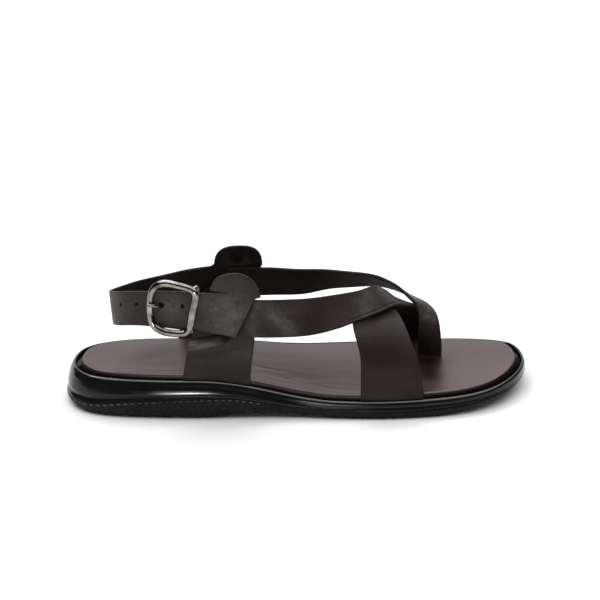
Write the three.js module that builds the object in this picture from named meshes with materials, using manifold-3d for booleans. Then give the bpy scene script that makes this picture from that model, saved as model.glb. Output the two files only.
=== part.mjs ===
// A right sandal of leather straps on a moulded sole, toe towards +X, lateral side towards -Y.
import * as THREE from "three";
import Module from "manifold-3d";
import { mergeVertices } from "three/addons/utils/BufferGeometryUtils.js";

const wasm = await Module();
wasm.setup();

// Driving sizes in millimetres
const LENGTH = 285;
const BALL_WIDTH = 97;
const HEEL_HEIGHT = 23.5;
const INSTEP_HEIGHT = 72;
const STRAP_THICKNESS = 2;
const CLEARANCE = 0.3;

// Sole unit
const LIP_WIDTH = 2.5;
const LIP_ROUND = 3.6;
const GROOVE_WIDTH = 3.5;
const RECESS_DEPTH = 3.4;
const MEDIAL_RISE = 3.6;
const TREAD_ROUND = 4;

// Insole
const INSOLE_RISE = 2;
const INSOLE_ROLL = 2.6;
const INSOLE_DISH = 0.9;

// Ears and heel strap
const EAR_RADIUS = 15;
const LOBE_SQUARENESS = 2.7;
const NOTCH_WIDTH = 1;
const HOLE_RADIUS = 0.9;
const PRONG_SLOT = 4.6;

// Buckle
const FRAME_RADIUS = 1.9;
const BAR_RADIUS = 0.95;
const PRONG_RADIUS = 0.75;
const EYE_RADIUS = 0.5;
const FOLD_WALL = 1.15;
const FOLD_INSET = 2.6;
const PRONG_GAP = 5;

// Mesh steps
const SIDE_STEPS = 44;
const STRAP_STEPS = 24;
const PANEL_STEP = 9;

// Lip's outer edge from above: share of the length from the heel, share of the ball width, medial plus.
// The first row is the heel's end, and the rows run along the lateral side to the toe.
const LATERAL_EDGE = [
  [0.015, -0.030],
  [0.023, -0.149],
  [0.038, -0.222],
  [0.058, -0.276],
  [0.098, -0.327],
  [0.165, -0.372],
  [0.265, -0.412],
  [0.377, -0.435],
  [0.479, -0.458],
  [0.570, -0.495],
  [0.675, -0.525],
  [0.763, -0.518],
  [0.835, -0.489],
  [0.879, -0.445],
  [0.921, -0.370],
  [0.957, -0.262],
  [0.984, -0.131],
  [0.999, 0.000],
  [1.002, 0.098],
];

// The same edge back along the medial side, from the toe to the heel.
const MEDIAL_EDGE = [
  [0.999, 0.210],
  [0.986, 0.310],
  [0.959, 0.376],
  [0.916, 0.434],
  [0.865, 0.474],
  [0.798, 0.492],
  [0.700, 0.474],
  [0.605, 0.432],
  [0.518, 0.381],
  [0.430, 0.336],
  [0.342, 0.315],
  [0.254, 0.326],
  [0.167, 0.338],
  [0.104, 0.313],
  [0.063, 0.268],
  [0.035, 0.194],
  [0.019, 0.082],
];

// Side of the sole, in shares of the heel height.
// along, lip top, lift of the tread off the floor, line between tread and midsole, bulge beyond the lip
const SIDE = [
  [0.00, 1.000, 0.130, 0.270, 0.166],
  [0.04, 1.000, 0.050, 0.300, 0.155],
  [0.08, 1.000, 0.005, 0.350, 0.145],
  [0.13, 1.000, 0.000, 0.440, 0.135],
  [0.20, 1.000, 0.000, 0.500, 0.120],
  [0.30, 1.000, 0.015, 0.540, 0.105],
  [0.36, 0.915, 0.085, 0.520, 0.090],
  [0.42, 0.766, 0.115, 0.420, 0.075],
  [0.48, 0.596, 0.095, 0.340, 0.060],
  [0.54, 0.489, 0.035, 0.285, 0.055],
  [0.60, 0.460, 0.000, 0.240, 0.050],
  [0.70, 0.470, 0.000, 0.215, 0.045],
  [0.78, 0.485, 0.000, 0.220, 0.040],
  [0.84, 0.505, 0.085, 0.270, 0.030],
  [0.90, 0.535, 0.220, 0.335, 0.020],
  [0.95, 0.575, 0.295, 0.378, 0.010],
  [1.00, 0.617, 0.345, 0.405, 0.000],
];

// Midsole side under the lip: share of the way down from lip to tread line, share of the bulge
const MIDSOLE_SIDE = [
  [0.00, 0.05],
  [0.10, 0.42],
  [0.24, 0.64],
  [0.42, 0.76],
  [0.54, 0.70],
  [0.64, 0.54],
  [0.76, 0.62],
  [0.86, 0.84],
  [1.00, 1.00],
];

// Tread side: share of the way down from tread line to tread bottom, share of TREAD_ROUND drawn in
const TREAD_SIDE = [
  [0.00, 0.00],
  [0.12, -0.02],
  [0.45, 0.04],
  [0.72, 0.22],
  [0.92, 0.56],
  [1.00, 1.00],
];

// Strap sections: each row gives one crosswise line by its two ends.
// along, across, height of the rear or upper edge, then of the front or lower edge
const INSTEP_STRAP = [
  [0.339, -0.325, 1.008, 0.346, -0.363, 0.712],
  [0.374, -0.340, 1.007, 0.372, -0.393, 0.709],
  [0.412, -0.357, 1.006, 0.402, -0.418, 0.706],
  [0.513, -0.311, 0.986, 0.510, -0.423, 0.714],
  [0.582, -0.239, 0.981, 0.579, -0.373, 0.749],
  [0.623, -0.168, 0.969, 0.619, -0.315, 0.776],
  [0.659, -0.077, 0.952, 0.663, -0.233, 0.792],
  [0.685, 0.057, 0.858, 0.707, -0.082, 0.786],
  [0.709, 0.165, 0.753, 0.733, 0.010, 0.750],
  [0.724, 0.247, 0.660, 0.760, 0.108, 0.690],
  [0.711, 0.335, 0.486, 0.784, 0.253, 0.542],
  [0.688, 0.397, 0.319, 0.802, 0.361, 0.368],
];
const INSTEP_FOOT = [0.672, 0.809];

const BALL_STRAP = [
  [0.620, -0.474, 0.431, 0.745, -0.459, 0.410],
  [0.618, -0.454, 0.560, 0.734, -0.402, 0.553],
  [0.614, -0.412, 0.661, 0.725, -0.330, 0.643],
  [0.612, -0.346, 0.739, 0.718, -0.232, 0.711],
  [0.623, -0.273, 0.796, 0.713, -0.124, 0.735],
  [0.640, -0.196, 0.842, 0.702, -0.031, 0.782],
];
const BALL_FOOT = [0.620, 0.754];

const TOE_STRAP = [
  [0.353, 0.276, 0.984, 0.353, 0.342, 0.697],
  [0.433, 0.271, 0.980, 0.433, 0.344, 0.694],
  [0.512, 0.278, 0.953, 0.515, 0.374, 0.680],
  [0.582, 0.273, 0.936, 0.587, 0.392, 0.716],
  [0.651, 0.240, 0.912, 0.657, 0.385, 0.742],
  [0.686, 0.206, 0.886, 0.696, 0.359, 0.742],
  [0.719, 0.160, 0.834, 0.733, 0.314, 0.738],
  [0.744, 0.116, 0.762, 0.762, 0.258, 0.690],
  [0.757, 0.091, 0.706, 0.787, 0.201, 0.646],
  [0.765, 0.085, 0.628, 0.803, 0.149, 0.603],
  [0.768, 0.093, 0.550, 0.811, 0.124, 0.542],
  [0.769, 0.134, 0.396, 0.817, 0.129, 0.431],
  [0.771, 0.180, 0.236, 0.822, 0.144, 0.264],
  [0.772, 0.194, 0.122, 0.823, 0.151, 0.126],
];

const LATERAL_STAY = [
  [0.256, -0.371, 0.500, 0.393, -0.404, 0.472],
  [0.265, -0.333, 0.653, 0.400, -0.398, 0.680],
  [0.290, -0.305, 0.764, 0.398, -0.388, 0.792],
  [0.314, -0.309, 0.889, 0.391, -0.361, 0.917],
];
const LATERAL_STAY_FOOT = [0.249, 0.390];

const MEDIAL_STAY = [
  [0.258, 0.314, 0.528, 0.388, 0.320, 0.528],
  [0.282, 0.320, 0.694, 0.395, 0.327, 0.694],
  [0.332, 0.290, 0.861, 0.388, 0.292, 0.861],
  [0.350, 0.278, 0.917, 0.386, 0.279, 0.917],
];
const MEDIAL_STAY_FOOT = [0.244, 0.384];

const HEEL_STRAP = [
  [0.334, 0.305, 0.990, 0.334, 0.366, 0.694],
  [0.324, 0.309, 0.989, 0.324, 0.361, 0.694],
  [0.268, 0.304, 0.966, 0.268, 0.345, 0.672],
  [0.212, 0.278, 0.932, 0.216, 0.309, 0.640],
  [0.163, 0.222, 0.919, 0.167, 0.242, 0.624],
  [0.125, 0.124, 0.922, 0.129, 0.134, 0.626],
  [0.102, 0.000, 0.949, 0.108, 0.000, 0.649],
  [0.116, -0.113, 0.993, 0.119, -0.119, 0.694],
  [0.140, -0.192, 1.033, 0.142, -0.206, 0.739],
  [0.174, -0.247, 1.058, 0.174, -0.268, 0.767],
  [0.212, -0.275, 1.069, 0.212, -0.296, 0.778],
  [0.251, -0.303, 1.075, 0.251, -0.324, 0.783],
  [0.270, -0.317, 1.078, 0.261, -0.331, 0.786],
];

// Ears: the middle of the disc, and two upright lines of the middle surface by their two ends
const LATERAL_DISC = [0.361, 1.022];
const LATERAL_FRONT = [[0.412, -0.441, 0.708], [0.412, -0.346, 1.111]];
const MEDIAL_DISC = [0.378, 0.983];
const MEDIAL_REAR = [[0.317, 0.369, 0.694], [0.317, 0.262, 1.181]];
const MEDIAL_FRONT = [[0.425, 0.369, 0.694], [0.425, 0.262, 1.181]];

// Outline of the carrier below the lateral ear: along and height, from the fold to the disc
const CARRIER = {
  lower: [[0.318, 0.729], [0.360, 0.706], [0.381, 0.868], [0.401, 1.022]],
  notch: [0.341, 1.074],
};
const MEDIAL_PANEL = {
  lower: [[0.318, 0.700], [0.361, 0.697], [0.392, 0.850], [0.427, 0.968]],
  upper: [0.318, 0.989],
};

// Buckle in its own plane, in shares of the strap's width: along the strap, up
const BUCKLE_WIDTH = 21;
const BUCKLE_PLACE = { along: 0.2333, across: -0.3103, height: 0.942 };
const FRAME_LOOP = [
  [-0.66, 0.00],
  [-0.62, 0.36],
  [-0.48, 0.60],
  [-0.24, 0.71],
  [0.14, 0.67],
  [0.54, 0.57],
  [0.66, 0.46],
  [0.57, -0.08],
  [0.45, -0.61],
  [0.33, -0.73],
  [0.00, -0.76],
  [-0.32, -0.71],
  [-0.56, -0.55],
  [-0.65, -0.26],
];
const HINGE = { top: [0.68, 0.56], bottom: [0.475, -0.75], level: -2.45 };
const HOLES = [[-1.58, -0.14], [-1.07, -0.05], [0.25, 0.03]];
const PRONG_HOLE = -0.35;
const HOLE_REACH = 16;

const along = (share) => (share - 0.5) * LENGTH;
const across = (share) => share * BALL_WIDTH;
const up = (share) => share * INSTEP_HEIGHT;
const place = (a, c, h) => new THREE.Vector3(along(a), across(c), up(h));
const lerp = THREE.MathUtils.lerp;

// Value of a column of a table at a share along the shoe, eased between its rows
function tableAt(table, share, column) {
  const s = THREE.MathUtils.clamp(share, table[0][0], table[table.length - 1][0]);
  let row = 0;
  while (row < table.length - 2 && table[row + 1][0] < s) row += 1;
  const point = (k) => table[THREE.MathUtils.clamp(k, 0, table.length - 1)];
  const slope = (k) => {
    const before = point(k - 1);
    const after = point(k + 1);
    return (after[column] - before[column]) / (after[0] - before[0]);
  };
  const from = point(row);
  const to = point(row + 1);
  const span = to[0] - from[0];
  const t = (s - from[0]) / span;
  const t2 = t * t;
  const t3 = t2 * t;
  return (2 * t3 - 3 * t2 + 1) * from[column] + (t3 - 2 * t2 + t) * span * slope(row)
    + (3 * t2 - 2 * t3) * to[column] + (t3 - t2) * span * slope(row + 1);
}

// Lip edge as two chains of equal steps, lateral from heel to toe and medial back again
function lipEdge() {
  const rows = [...LATERAL_EDGE, ...MEDIAL_EDGE];
  const points = rows.map(([a, c]) => new THREE.Vector3(along(a), across(c), 0));
  const curve = new THREE.CatmullRomCurve3(points, true, "centripetal");
  curve.arcLengthDivisions = 1200;
  const lengths = curve.getLengths();
  const toe = lengths[Math.round((LATERAL_EDGE.length - 1) / rows.length * 1200)] / lengths[1200];
  const edge = [];
  for (let i = 0; i < SIDE_STEPS; i += 1) edge.push(curve.getPointAt(toe * i / SIDE_STEPS));
  for (let i = 0; i < SIDE_STEPS; i += 1) {
    edge.push(curve.getPointAt(toe + (1 - toe) * i / SIDE_STEPS));
  }
  return edge;
}

const EDGE = lipEdge();
const COUNT = EDGE.length;
const OUTWARD = EDGE.map((_, i) => {
  const step = EDGE[(i + 1) % COUNT].clone().sub(EDGE[(i + COUNT - 1) % COUNT]);
  return new THREE.Vector3(step.y, -step.x, 0).normalize();
});

// Across places of the lip on both sides at a place along the shoe
function sidesAt(x) {
  const reach = (chain) => {
    for (let i = 0; i < chain.length - 1; i += 1) {
      const [p, q] = [chain[i], chain[i + 1]];
      if (x >= p.x && x <= q.x) return lerp(p.y, q.y, (x - p.x) / (q.x - p.x || 1));
    }
    return x < 0 ? chain[0].y : chain[chain.length - 1].y;
  };
  const lateral = EDGE.slice(0, SIDE_STEPS + 1);
  const medial = [...EDGE.slice(SIDE_STEPS), EDGE[0]].reverse();
  return [reach(lateral), reach(medial)];
}

// Top of the lip, higher on the medial side under the arch
function lipTop(x, y) {
  const share = x / LENGTH + 0.5;
  const [lateral, medial] = sidesAt(x);
  const side = THREE.MathUtils.clamp((y - lateral) / Math.max(medial - lateral, 1), 0, 1);
  const arch = THREE.MathUtils.clamp(1 - Math.abs(share - 0.53) / 0.25, 0, 1);
  const rise = MEDIAL_RISE * arch * arch * (3 - 2 * arch);
  return tableAt(SIDE, share, 1) * HEEL_HEIGHT + rise * side;
}
const lift = (x) => Math.max(tableAt(SIDE, x / LENGTH + 0.5, 2), 0) * HEEL_HEIGHT;
const treadLine = (x) => tableAt(SIDE, x / LENGTH + 0.5, 3) * HEEL_HEIGHT;
const bulge = (x) => Math.max(tableAt(SIDE, x / LENGTH + 0.5, 4), 0) * HEEL_HEIGHT;

// One ring round the sole: offset and height are functions of the place on the lip's edge
function ring(offset, height) {
  return EDGE.map((p, i) => {
    const q = p.clone().addScaledVector(OUTWARD[i], offset(p.x));
    q.z = height(p.x, p.y, q);
    return q;
  });
}

// Closed solid from rings, its two ends closed by rungs between the lateral and medial sides
function ringSolid(rings, firstRungs, lastRungs, lastDip) {
  const points = rings.flat();
  const faces = [];
  for (let r = 0; r < rings.length - 1; r += 1) {
    for (let i = 0; i < COUNT; i += 1) {
      const j = (i + 1) % COUNT;
      const a = r * COUNT;
      const b = a + COUNT;
      faces.push([a + i, a + j, b + j], [a + i, b + j, b + i]);
    }
  }
  const close = (start, rungs, dip, flip) => {
    const row = (k) => {
      const lateral = start + k;
      const medial = start + (COUNT - k) % COUNT;
      if (k === 0 || k === SIDE_STEPS) return [lateral];
      const line = [lateral];
      for (let n = 1; n <= rungs; n += 1) {
        const t = n / (rungs + 1);
        const p = points[lateral].clone().lerp(points[medial], t);
        const ends = Math.min(1, Math.min(k, SIDE_STEPS - k) / 5);
        p.z -= dip * Math.sin(Math.PI * t) ** 0.7 * ends;
        line.push(points.push(p) - 1);
      }
      line.push(medial);
      return line;
    };
    let before = row(0);
    for (let k = 1; k <= SIDE_STEPS; k += 1) {
      const next = row(k);
      const long = Math.max(before.length, next.length);
      const at = (line, n) => line[Math.min(n, line.length - 1)];
      for (let n = 0; n < long - 1; n += 1) {
        const quad = [at(before, n), at(next, n), at(next, n + 1), at(before, n + 1)];
        const one = [quad[0], quad[1], quad[2]];
        const two = [quad[0], quad[2], quad[3]];
        for (const face of [one, two]) {
          if (new Set(face).size === 3) faces.push(flip ? face.reverse() : face);
        }
      }
      before = next;
    }
  };
  close(0, firstRungs, 0, true);
  close((rings.length - 1) * COUNT, lastRungs, lastDip, false);
  return solid(points, faces);
}

// Manifold solid from points and triangles, turned right side out
function solid(points, faces) {
  const signed = faces.reduce((sum, [a, b, c]) => {
    return sum + points[a].dot(points[b].clone().cross(points[c]));
  }, 0);
  const order = signed > 0 ? faces : faces.map(([a, b, c]) => [a, c, b]);
  return new wasm.Manifold(new wasm.Mesh({
    numProp: 3,
    vertProperties: new Float32Array(points.flatMap((p) => [p.x, p.y, p.z])),
    triVerts: new Uint32Array(order.flat()),
  }));
}

function fromGeometry(geometry) {
  geometry.deleteAttribute("normal");
  geometry.deleteAttribute("uv");
  const merged = mergeVertices(geometry, 1e-4);
  const position = merged.getAttribute("position");
  const points = [];
  for (let i = 0; i < position.count; i += 1) {
    points.push(new THREE.Vector3().fromBufferAttribute(position, i));
  }
  const index = merged.getIndex().array;
  const faces = [];
  for (let i = 0; i < index.length; i += 3) {
    const face = [index[i], index[i + 1], index[i + 2]];
    if (new Set(face).size === 3) faces.push(face);
  }
  return solid(points, faces);
}

function toMesh(name, manifold, color, roughness, metalness) {
  const { vertProperties, triVerts, numProp } = manifold.getMesh();
  const flat = new Float32Array(vertProperties.length / numProp * 3);
  for (let i = 0; i < flat.length / 3; i += 1) {
    for (let k = 0; k < 3; k += 1) flat[i * 3 + k] = vertProperties[i * numProp + k];
  }
  const geometry = new THREE.BufferGeometry();
  geometry.setAttribute("position", new THREE.BufferAttribute(flat, 3));
  geometry.setIndex(new THREE.BufferAttribute(new Uint32Array(triVerts), 1));
  geometry.computeVertexNormals();
  const material = new THREE.MeshStandardMaterial({ color, roughness, metalness });
  const mesh = new THREE.Mesh(geometry, material);
  mesh.name = name;
  return mesh;
}

// Sole unit
function outsole() {
  const side = TREAD_SIDE.map(([down, drawn]) => ring(
    (x) => bulge(x) - drawn * TREAD_ROUND,
    (x) => lerp(treadLine(x) - CLEARANCE, lift(x), down),
  ));
  return ringSolid(side.reverse(), 0, 0, 0);
}

function midsole() {
  const lip = [
    [-LIP_WIDTH - 0.2, RECESS_DEPTH],
    [-LIP_WIDTH, 0.9],
    [-LIP_WIDTH * 0.82, 0.25],
    [-LIP_WIDTH * 0.48, 0],
    [-LIP_WIDTH * 0.18, 0.3],
    [0, LIP_ROUND * 0.33],
    [-0.1, LIP_ROUND * 0.56],
    [-LIP_WIDTH * 0.34, LIP_ROUND * 0.8],
  ].map(([offset, down]) => ring(() => offset, (x, y) => lipTop(x, y) - down));
  const side = MIDSOLE_SIDE.map(([down, out]) => ring(
    (x) => bulge(x) * out,
    (x, y) => lerp(lipTop(x, y) - LIP_ROUND, treadLine(x), down),
  ));
  return ringSolid([...side.reverse(), ...lip.reverse()], 0, 0, 0);
}

const INSOLE_EDGE = -(LIP_WIDTH + GROOVE_WIDTH);

function insole() {
  const rings = [
    [0.9, -RECESS_DEPTH + CLEARANCE * 1.5],
    [0.1, -RECESS_DEPTH + CLEARANCE * 1.5 + 0.8],
    [0, INSOLE_RISE - INSOLE_ROLL],
    [INSOLE_ROLL * 0.13, INSOLE_RISE - INSOLE_ROLL * 0.5],
    [INSOLE_ROLL * 0.5, INSOLE_RISE - INSOLE_ROLL * 0.13],
    [INSOLE_ROLL, INSOLE_RISE],
  ].map(([inset, height]) => ring(() => INSOLE_EDGE - inset, (x, y, q) => lipTop(q.x, q.y) + height));
  return ringSolid(rings, 0, 6, INSOLE_DISH).subtract(toeSlot());
}

// Straps
function edgePoints(row) {
  return [place(...row.slice(0, 3)), place(...row.slice(3, 6))];
}

// Place in the middle of a strap's foot, standing in the groove on one side of the sole
function seat(share, side, height) {
  const x = along(share);
  const inset = LIP_WIDTH + CLEARANCE + 0.25 + STRAP_THICKNESS / 2;
  const edge = sidesAt(x)[side > 0 ? 1 : 0];
  const y = edge - side * inset;
  return new THREE.Vector3(x, y, lipTop(x, edge) + height);
}

// Sheet of a strap: a grid of middle points, splined lengthwise through its sections
function strapGrid(rows, foot, side, columns, steps) {
  const grid = [];
  for (let c = 0; c <= columns; c += 1) {
    const t = c / columns;
    const line = rows.map((row) => {
      const [rear, front] = edgePoints(row);
      return rear.lerp(front, t);
    });
    if (foot) {
      const share = lerp(foot[0], foot[1], t);
      line.push(seat(share, side, 0.6), seat(share, side, -RECESS_DEPTH + CLEARANCE * 1.5));
    }
    const curve = new THREE.CatmullRomCurve3(line, false, "centripetal");
    grid.push(Array.from({ length: steps + 1 }, (_, k) => curve.getPoint(k / steps)));
  }
  return grid;
}

function gridNormal(grid, c, k) {
  const at = (i, j) => grid[THREE.MathUtils.clamp(i, 0, grid.length - 1)][
    THREE.MathUtils.clamp(j, 0, grid[0].length - 1)];
  const over = at(c + 1, k).clone().sub(at(c - 1, k));
  const on = at(c, k + 1).clone().sub(at(c, k - 1));
  return over.cross(on).normalize();
}

function sheetSolid(grid, thickness) {
  const columns = grid.length;
  const steps = grid[0].length;
  const points = [];
  const faces = [];
  for (const side of [0.5, -0.5]) {
    for (let c = 0; c < columns; c += 1) {
      for (let k = 0; k < steps; k += 1) {
        points.push(grid[c][k].clone().addScaledVector(gridNormal(grid, c, k), side * thickness));
      }
    }
  }
  const back = columns * steps;
  const id = (c, k) => c * steps + k;
  const quad = (a, b, c, d) => faces.push([a, b, c], [a, c, d]);
  for (let c = 0; c < columns - 1; c += 1) {
    for (let k = 0; k < steps - 1; k += 1) {
      quad(id(c, k), id(c + 1, k), id(c + 1, k + 1), id(c, k + 1));
      quad(back + id(c, k), back + id(c, k + 1), back + id(c + 1, k + 1), back + id(c + 1, k));
    }
    quad(id(c + 1, 0), id(c, 0), back + id(c, 0), back + id(c + 1, 0));
    const end = steps - 1;
    quad(id(c, end), id(c + 1, end), back + id(c + 1, end), back + id(c, end));
  }
  for (let k = 0; k < steps - 1; k += 1) {
    quad(id(0, k), id(0, k + 1), back + id(0, k + 1), back + id(0, k));
    const last = columns - 1;
    quad(id(last, k + 1), id(last, k), back + id(last, k), back + id(last, k + 1));
  }
  return solid(points, faces);
}

function strap(rows, foot = null, side = 0, columns = 3, steps = STRAP_STEPS) {
  return sheetSolid(strapGrid(rows, foot, side, columns, steps), STRAP_THICKNESS);
}

// Slot in the insole for the toe strap
// Toe strap's rows, the last one standing on the floor of the recess
function toeRows() {
  const rows = TOE_STRAP.map((row) => [...row]);
  const foot = rows.at(-1);
  for (const k of [0, 3]) {
    const p = place(foot[k], foot[k + 1], 0);
    foot[k + 2] = (lipTop(p.x, p.y) - RECESS_DEPTH + CLEARANCE * 2) / INSTEP_HEIGHT;
  }
  return rows;
}

function toeSlot() {
  const rows = toeRows().slice(-3);
  const under = rows[2].map((value, k) => (k % 3 === 2 ? -0.1 : value));
  const grid = strapGrid([...rows, under], null, 0, 1, 6);
  const widened = grid.map((line, c) => line.map((p, k) => {
    const over = grid[1 - c][k].clone().sub(p).normalize();
    return p.clone().addScaledVector(over, -CLEARANCE * 1.8);
  }));
  return sheetSolid(widened, STRAP_THICKNESS + 3 * CLEARANCE);
}

// Middle surface of an ear panel, bent between its rear and front lines, each given low end first
function panelAcross([rear, front], x, z) {
  const line = ([low, high]) => lerp(low.y, high.y, (z - low.z) / (high.z - low.z));
  const [from, to] = [rear, front].map(([low, high]) => (low.x + high.x) / 2);
  return lerp(line(rear), line(front), THREE.MathUtils.clamp((x - from) / (to - from), 0, 1));
}

// Arc of a disc, with its rear half drawn out towards a square by a power above 2
function arcPoints(centre, radius, from, to, steps, power = 2) {
  return Array.from({ length: steps + 1 }, (_, k) => {
    const angle = THREE.MathUtils.degToRad(lerp(from, to, k / steps));
    const [c, s] = [Math.cos(angle), Math.sin(angle)];
    const reach = c < 0 ? (Math.abs(c) ** power + Math.abs(s) ** power) ** (-1 / power) : 1;
    return [centre[0] + radius * reach * c, centre[1] + radius * reach * s];
  });
}

function panelSolid(panel, outline) {
  const shape = new THREE.Shape(outline.map(([x, z]) => new THREE.Vector2(x, z)));
  const geometry = new THREE.ExtrudeGeometry(shape, {
    depth: STRAP_THICKNESS, bevelEnabled: false, steps: 1,
  });
  geometry.rotateX(Math.PI / 2);
  const plate = fromGeometry(geometry).refineToLength(PANEL_STEP);
  return plate.warp((point) => {
    point[1] += panelAcross(panel, point[0], point[2]) + STRAP_THICKNESS / 2;
  });
}

function lateralEar() {
  const flat = ([a, h]) => [along(a), up(h)];
  const centre = flat(LATERAL_DISC);
  const [foldTop, foldBottom] = hingeEnds(-FOLD_INSET);
  const notch = flat(CARRIER.notch);
  const lobe = arcPoints(centre, EAR_RADIUS, 4, 162, 14, LOBE_SQUARENESS);
  const mouth = centre[0] - EAR_RADIUS * 0.98;
  const outline = [
    [foldBottom.x, foldBottom.z],
    ...CARRIER.lower.map(flat),
    ...lobe,
    [mouth + 2.4, notch[1] + NOTCH_WIDTH * 0.6],
    notch,
    [mouth + 2.4, notch[1] - NOTCH_WIDTH * 0.5],
    [foldTop.x, foldTop.z],
  ];
  const front = LATERAL_FRONT.map((point) => place(...point));
  return panelSolid([[foldBottom, foldTop], front], outline);
}

function medialEar() {
  const flat = ([a, h]) => [along(a), up(h)];
  const centre = flat(MEDIAL_DISC);
  const outline = [
    ...MEDIAL_PANEL.lower.map(flat),
    ...arcPoints(centre, EAR_RADIUS, 4, 172, 16),
    flat(MEDIAL_PANEL.upper),
  ];
  const lines = [MEDIAL_REAR, MEDIAL_FRONT].map((line) => line.map((point) => place(...point)));
  return panelSolid(lines, outline);
}

// Buckle's own plane, on the outside of the heel strap
function bucklePlane() {
  const last = HEEL_STRAP[HEEL_STRAP.length - 2];
  const first = HEEL_STRAP[HEEL_STRAP.length - 4];
  const [upper, lower] = edgePoints(last);
  const [upperBefore, lowerBefore] = edgePoints(first);
  const on = upper.clone().add(lower).sub(upperBefore).sub(lowerBefore);
  on.z = 0;
  on.normalize();
  const rise = upper.clone().sub(lower).normalize();
  const out = on.clone().cross(rise).normalize();
  const centre = place(BUCKLE_PLACE.along, BUCKLE_PLACE.across, BUCKLE_PLACE.height);
  return ([x, z], level) => centre.clone()
    .addScaledVector(on, x * BUCKLE_WIDTH)
    .addScaledVector(rise, z * BUCKLE_WIDTH)
    .addScaledVector(out, level);
}

const onBuckle = bucklePlane();
const FRAME_LEVEL = CLEARANCE * 1.5 + FRAME_RADIUS;

// Round rod with closed ends along a curve
function rod(curve, steps, radius, sides) {
  const frames = curve.computeFrenetFrames(steps, false);
  const points = [];
  const faces = [];
  for (let k = 0; k <= steps; k += 1) {
    const centre = curve.getPointAt(k / steps);
    for (let s = 0; s < sides; s += 1) {
      const angle = s / sides * Math.PI * 2;
      points.push(centre.clone()
        .addScaledVector(frames.normals[k], radius * Math.cos(angle))
        .addScaledVector(frames.binormals[k], radius * Math.sin(angle)));
    }
  }
  for (let k = 0; k < steps; k += 1) {
    for (let s = 0; s < sides; s += 1) {
      const t = (s + 1) % sides;
      const a = k * sides;
      const b = a + sides;
      faces.push([a + s, a + t, b + t], [a + s, b + t, b + s]);
    }
  }
  for (let s = 1; s < sides - 1; s += 1) {
    const end = steps * sides;
    faces.push([0, s + 1, s], [end, end + s, end + s + 1]);
  }
  return solid(points, faces);
}

const lineRod = (from, to, radius, sides) => rod(new THREE.LineCurve3(from, to), 1, radius, sides);

function hingeEnds(extra = 0) {
  const top = onBuckle(HINGE.top, HINGE.level);
  const bottom = onBuckle(HINGE.bottom, HINGE.level);
  const way = bottom.clone().sub(top).normalize();
  return [top.addScaledVector(way, -extra), bottom.addScaledVector(way, extra)];
}

function buckleFrame() {
  const loop = FRAME_LOOP.map((point) => onBuckle(point, FRAME_LEVEL));
  const curve = new THREE.CatmullRomCurve3(loop, true, "centripetal");
  const frame = fromGeometry(new THREE.TubeGeometry(curve, 44, FRAME_RADIUS, 8, true));
  const [top, bottom] = hingeEnds(BAR_RADIUS);
  return frame
    .add(lineRod(top, bottom, BAR_RADIUS, 10))
    .add(lineRod(top, onBuckle(FRAME_LOOP[5], FRAME_LEVEL), BAR_RADIUS * 1.25, 8))
    .add(lineRod(bottom, onBuckle(FRAME_LOOP[9], FRAME_LEVEL), BAR_RADIUS * 1.25, 8));
}

// End of the carrier, folded round the hinge bar and open in the middle for the prong
function carrierFold() {
  const [top, bottom] = hingeEnds(-FOLD_INSET);
  const outer = lineRod(top, bottom, BAR_RADIUS + CLEARANCE + FOLD_WALL, 16);
  const middle = top.clone().lerp(bottom, 0.5);
  const way = bottom.clone().sub(top).normalize();
  const gap = lineRod(
    middle.clone().addScaledVector(way, -PRONG_GAP / 2),
    middle.clone().addScaledVector(way, PRONG_GAP / 2),
    BAR_RADIUS + CLEARANCE + FOLD_WALL + 1.4,
    12,
  );
  return { outer, gap };
}

function hingeBore() {
  const [top, bottom] = hingeEnds(BAR_RADIUS * 4);
  return lineRod(top, bottom, BAR_RADIUS + CLEARANCE, 12);
}

function upper() {
  const { outer, gap } = carrierFold();
  const bore = hingeBore();
  return lateralEar().add(outer).subtract(bore).subtract(gap)
    .add(strap(INSTEP_STRAP, INSTEP_FOOT, 1, 3, STRAP_STEPS + 8))
    .add(strap(BALL_STRAP.slice().reverse(), BALL_FOOT, -1))
    .add(strap(toeRows(), null, 0, 3, STRAP_STEPS + 12))
    .add(strap(LATERAL_STAY.slice().reverse(), LATERAL_STAY_FOOT, -1, 5, 16))
    .add(strap(MEDIAL_STAY.slice().reverse(), MEDIAL_STAY_FOOT, 1, 5, 16));
}

function heelStrap() {
  const band = strap(HEEL_STRAP, null, 0, 2, 46);
  let body = band.add(medialEar());
  for (const hole of HOLES) {
    const cut = lineRod(onBuckle(hole, HOLE_REACH / 4), onBuckle(hole, -HOLE_REACH), HOLE_RADIUS, 8);
    body = body.subtract(cut);
  }
  const slot = PRONG_SLOT / 2 / BUCKLE_WIDTH;
  for (const end of [-0.5, 0, 0.5]) {
    const at = [PRONG_HOLE + end * slot, 0];
    body = body.subtract(lineRod(onBuckle(at, 6), onBuckle(at, -6), PRONG_RADIUS + 0.6, 8));
  }
  return body;
}

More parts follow.
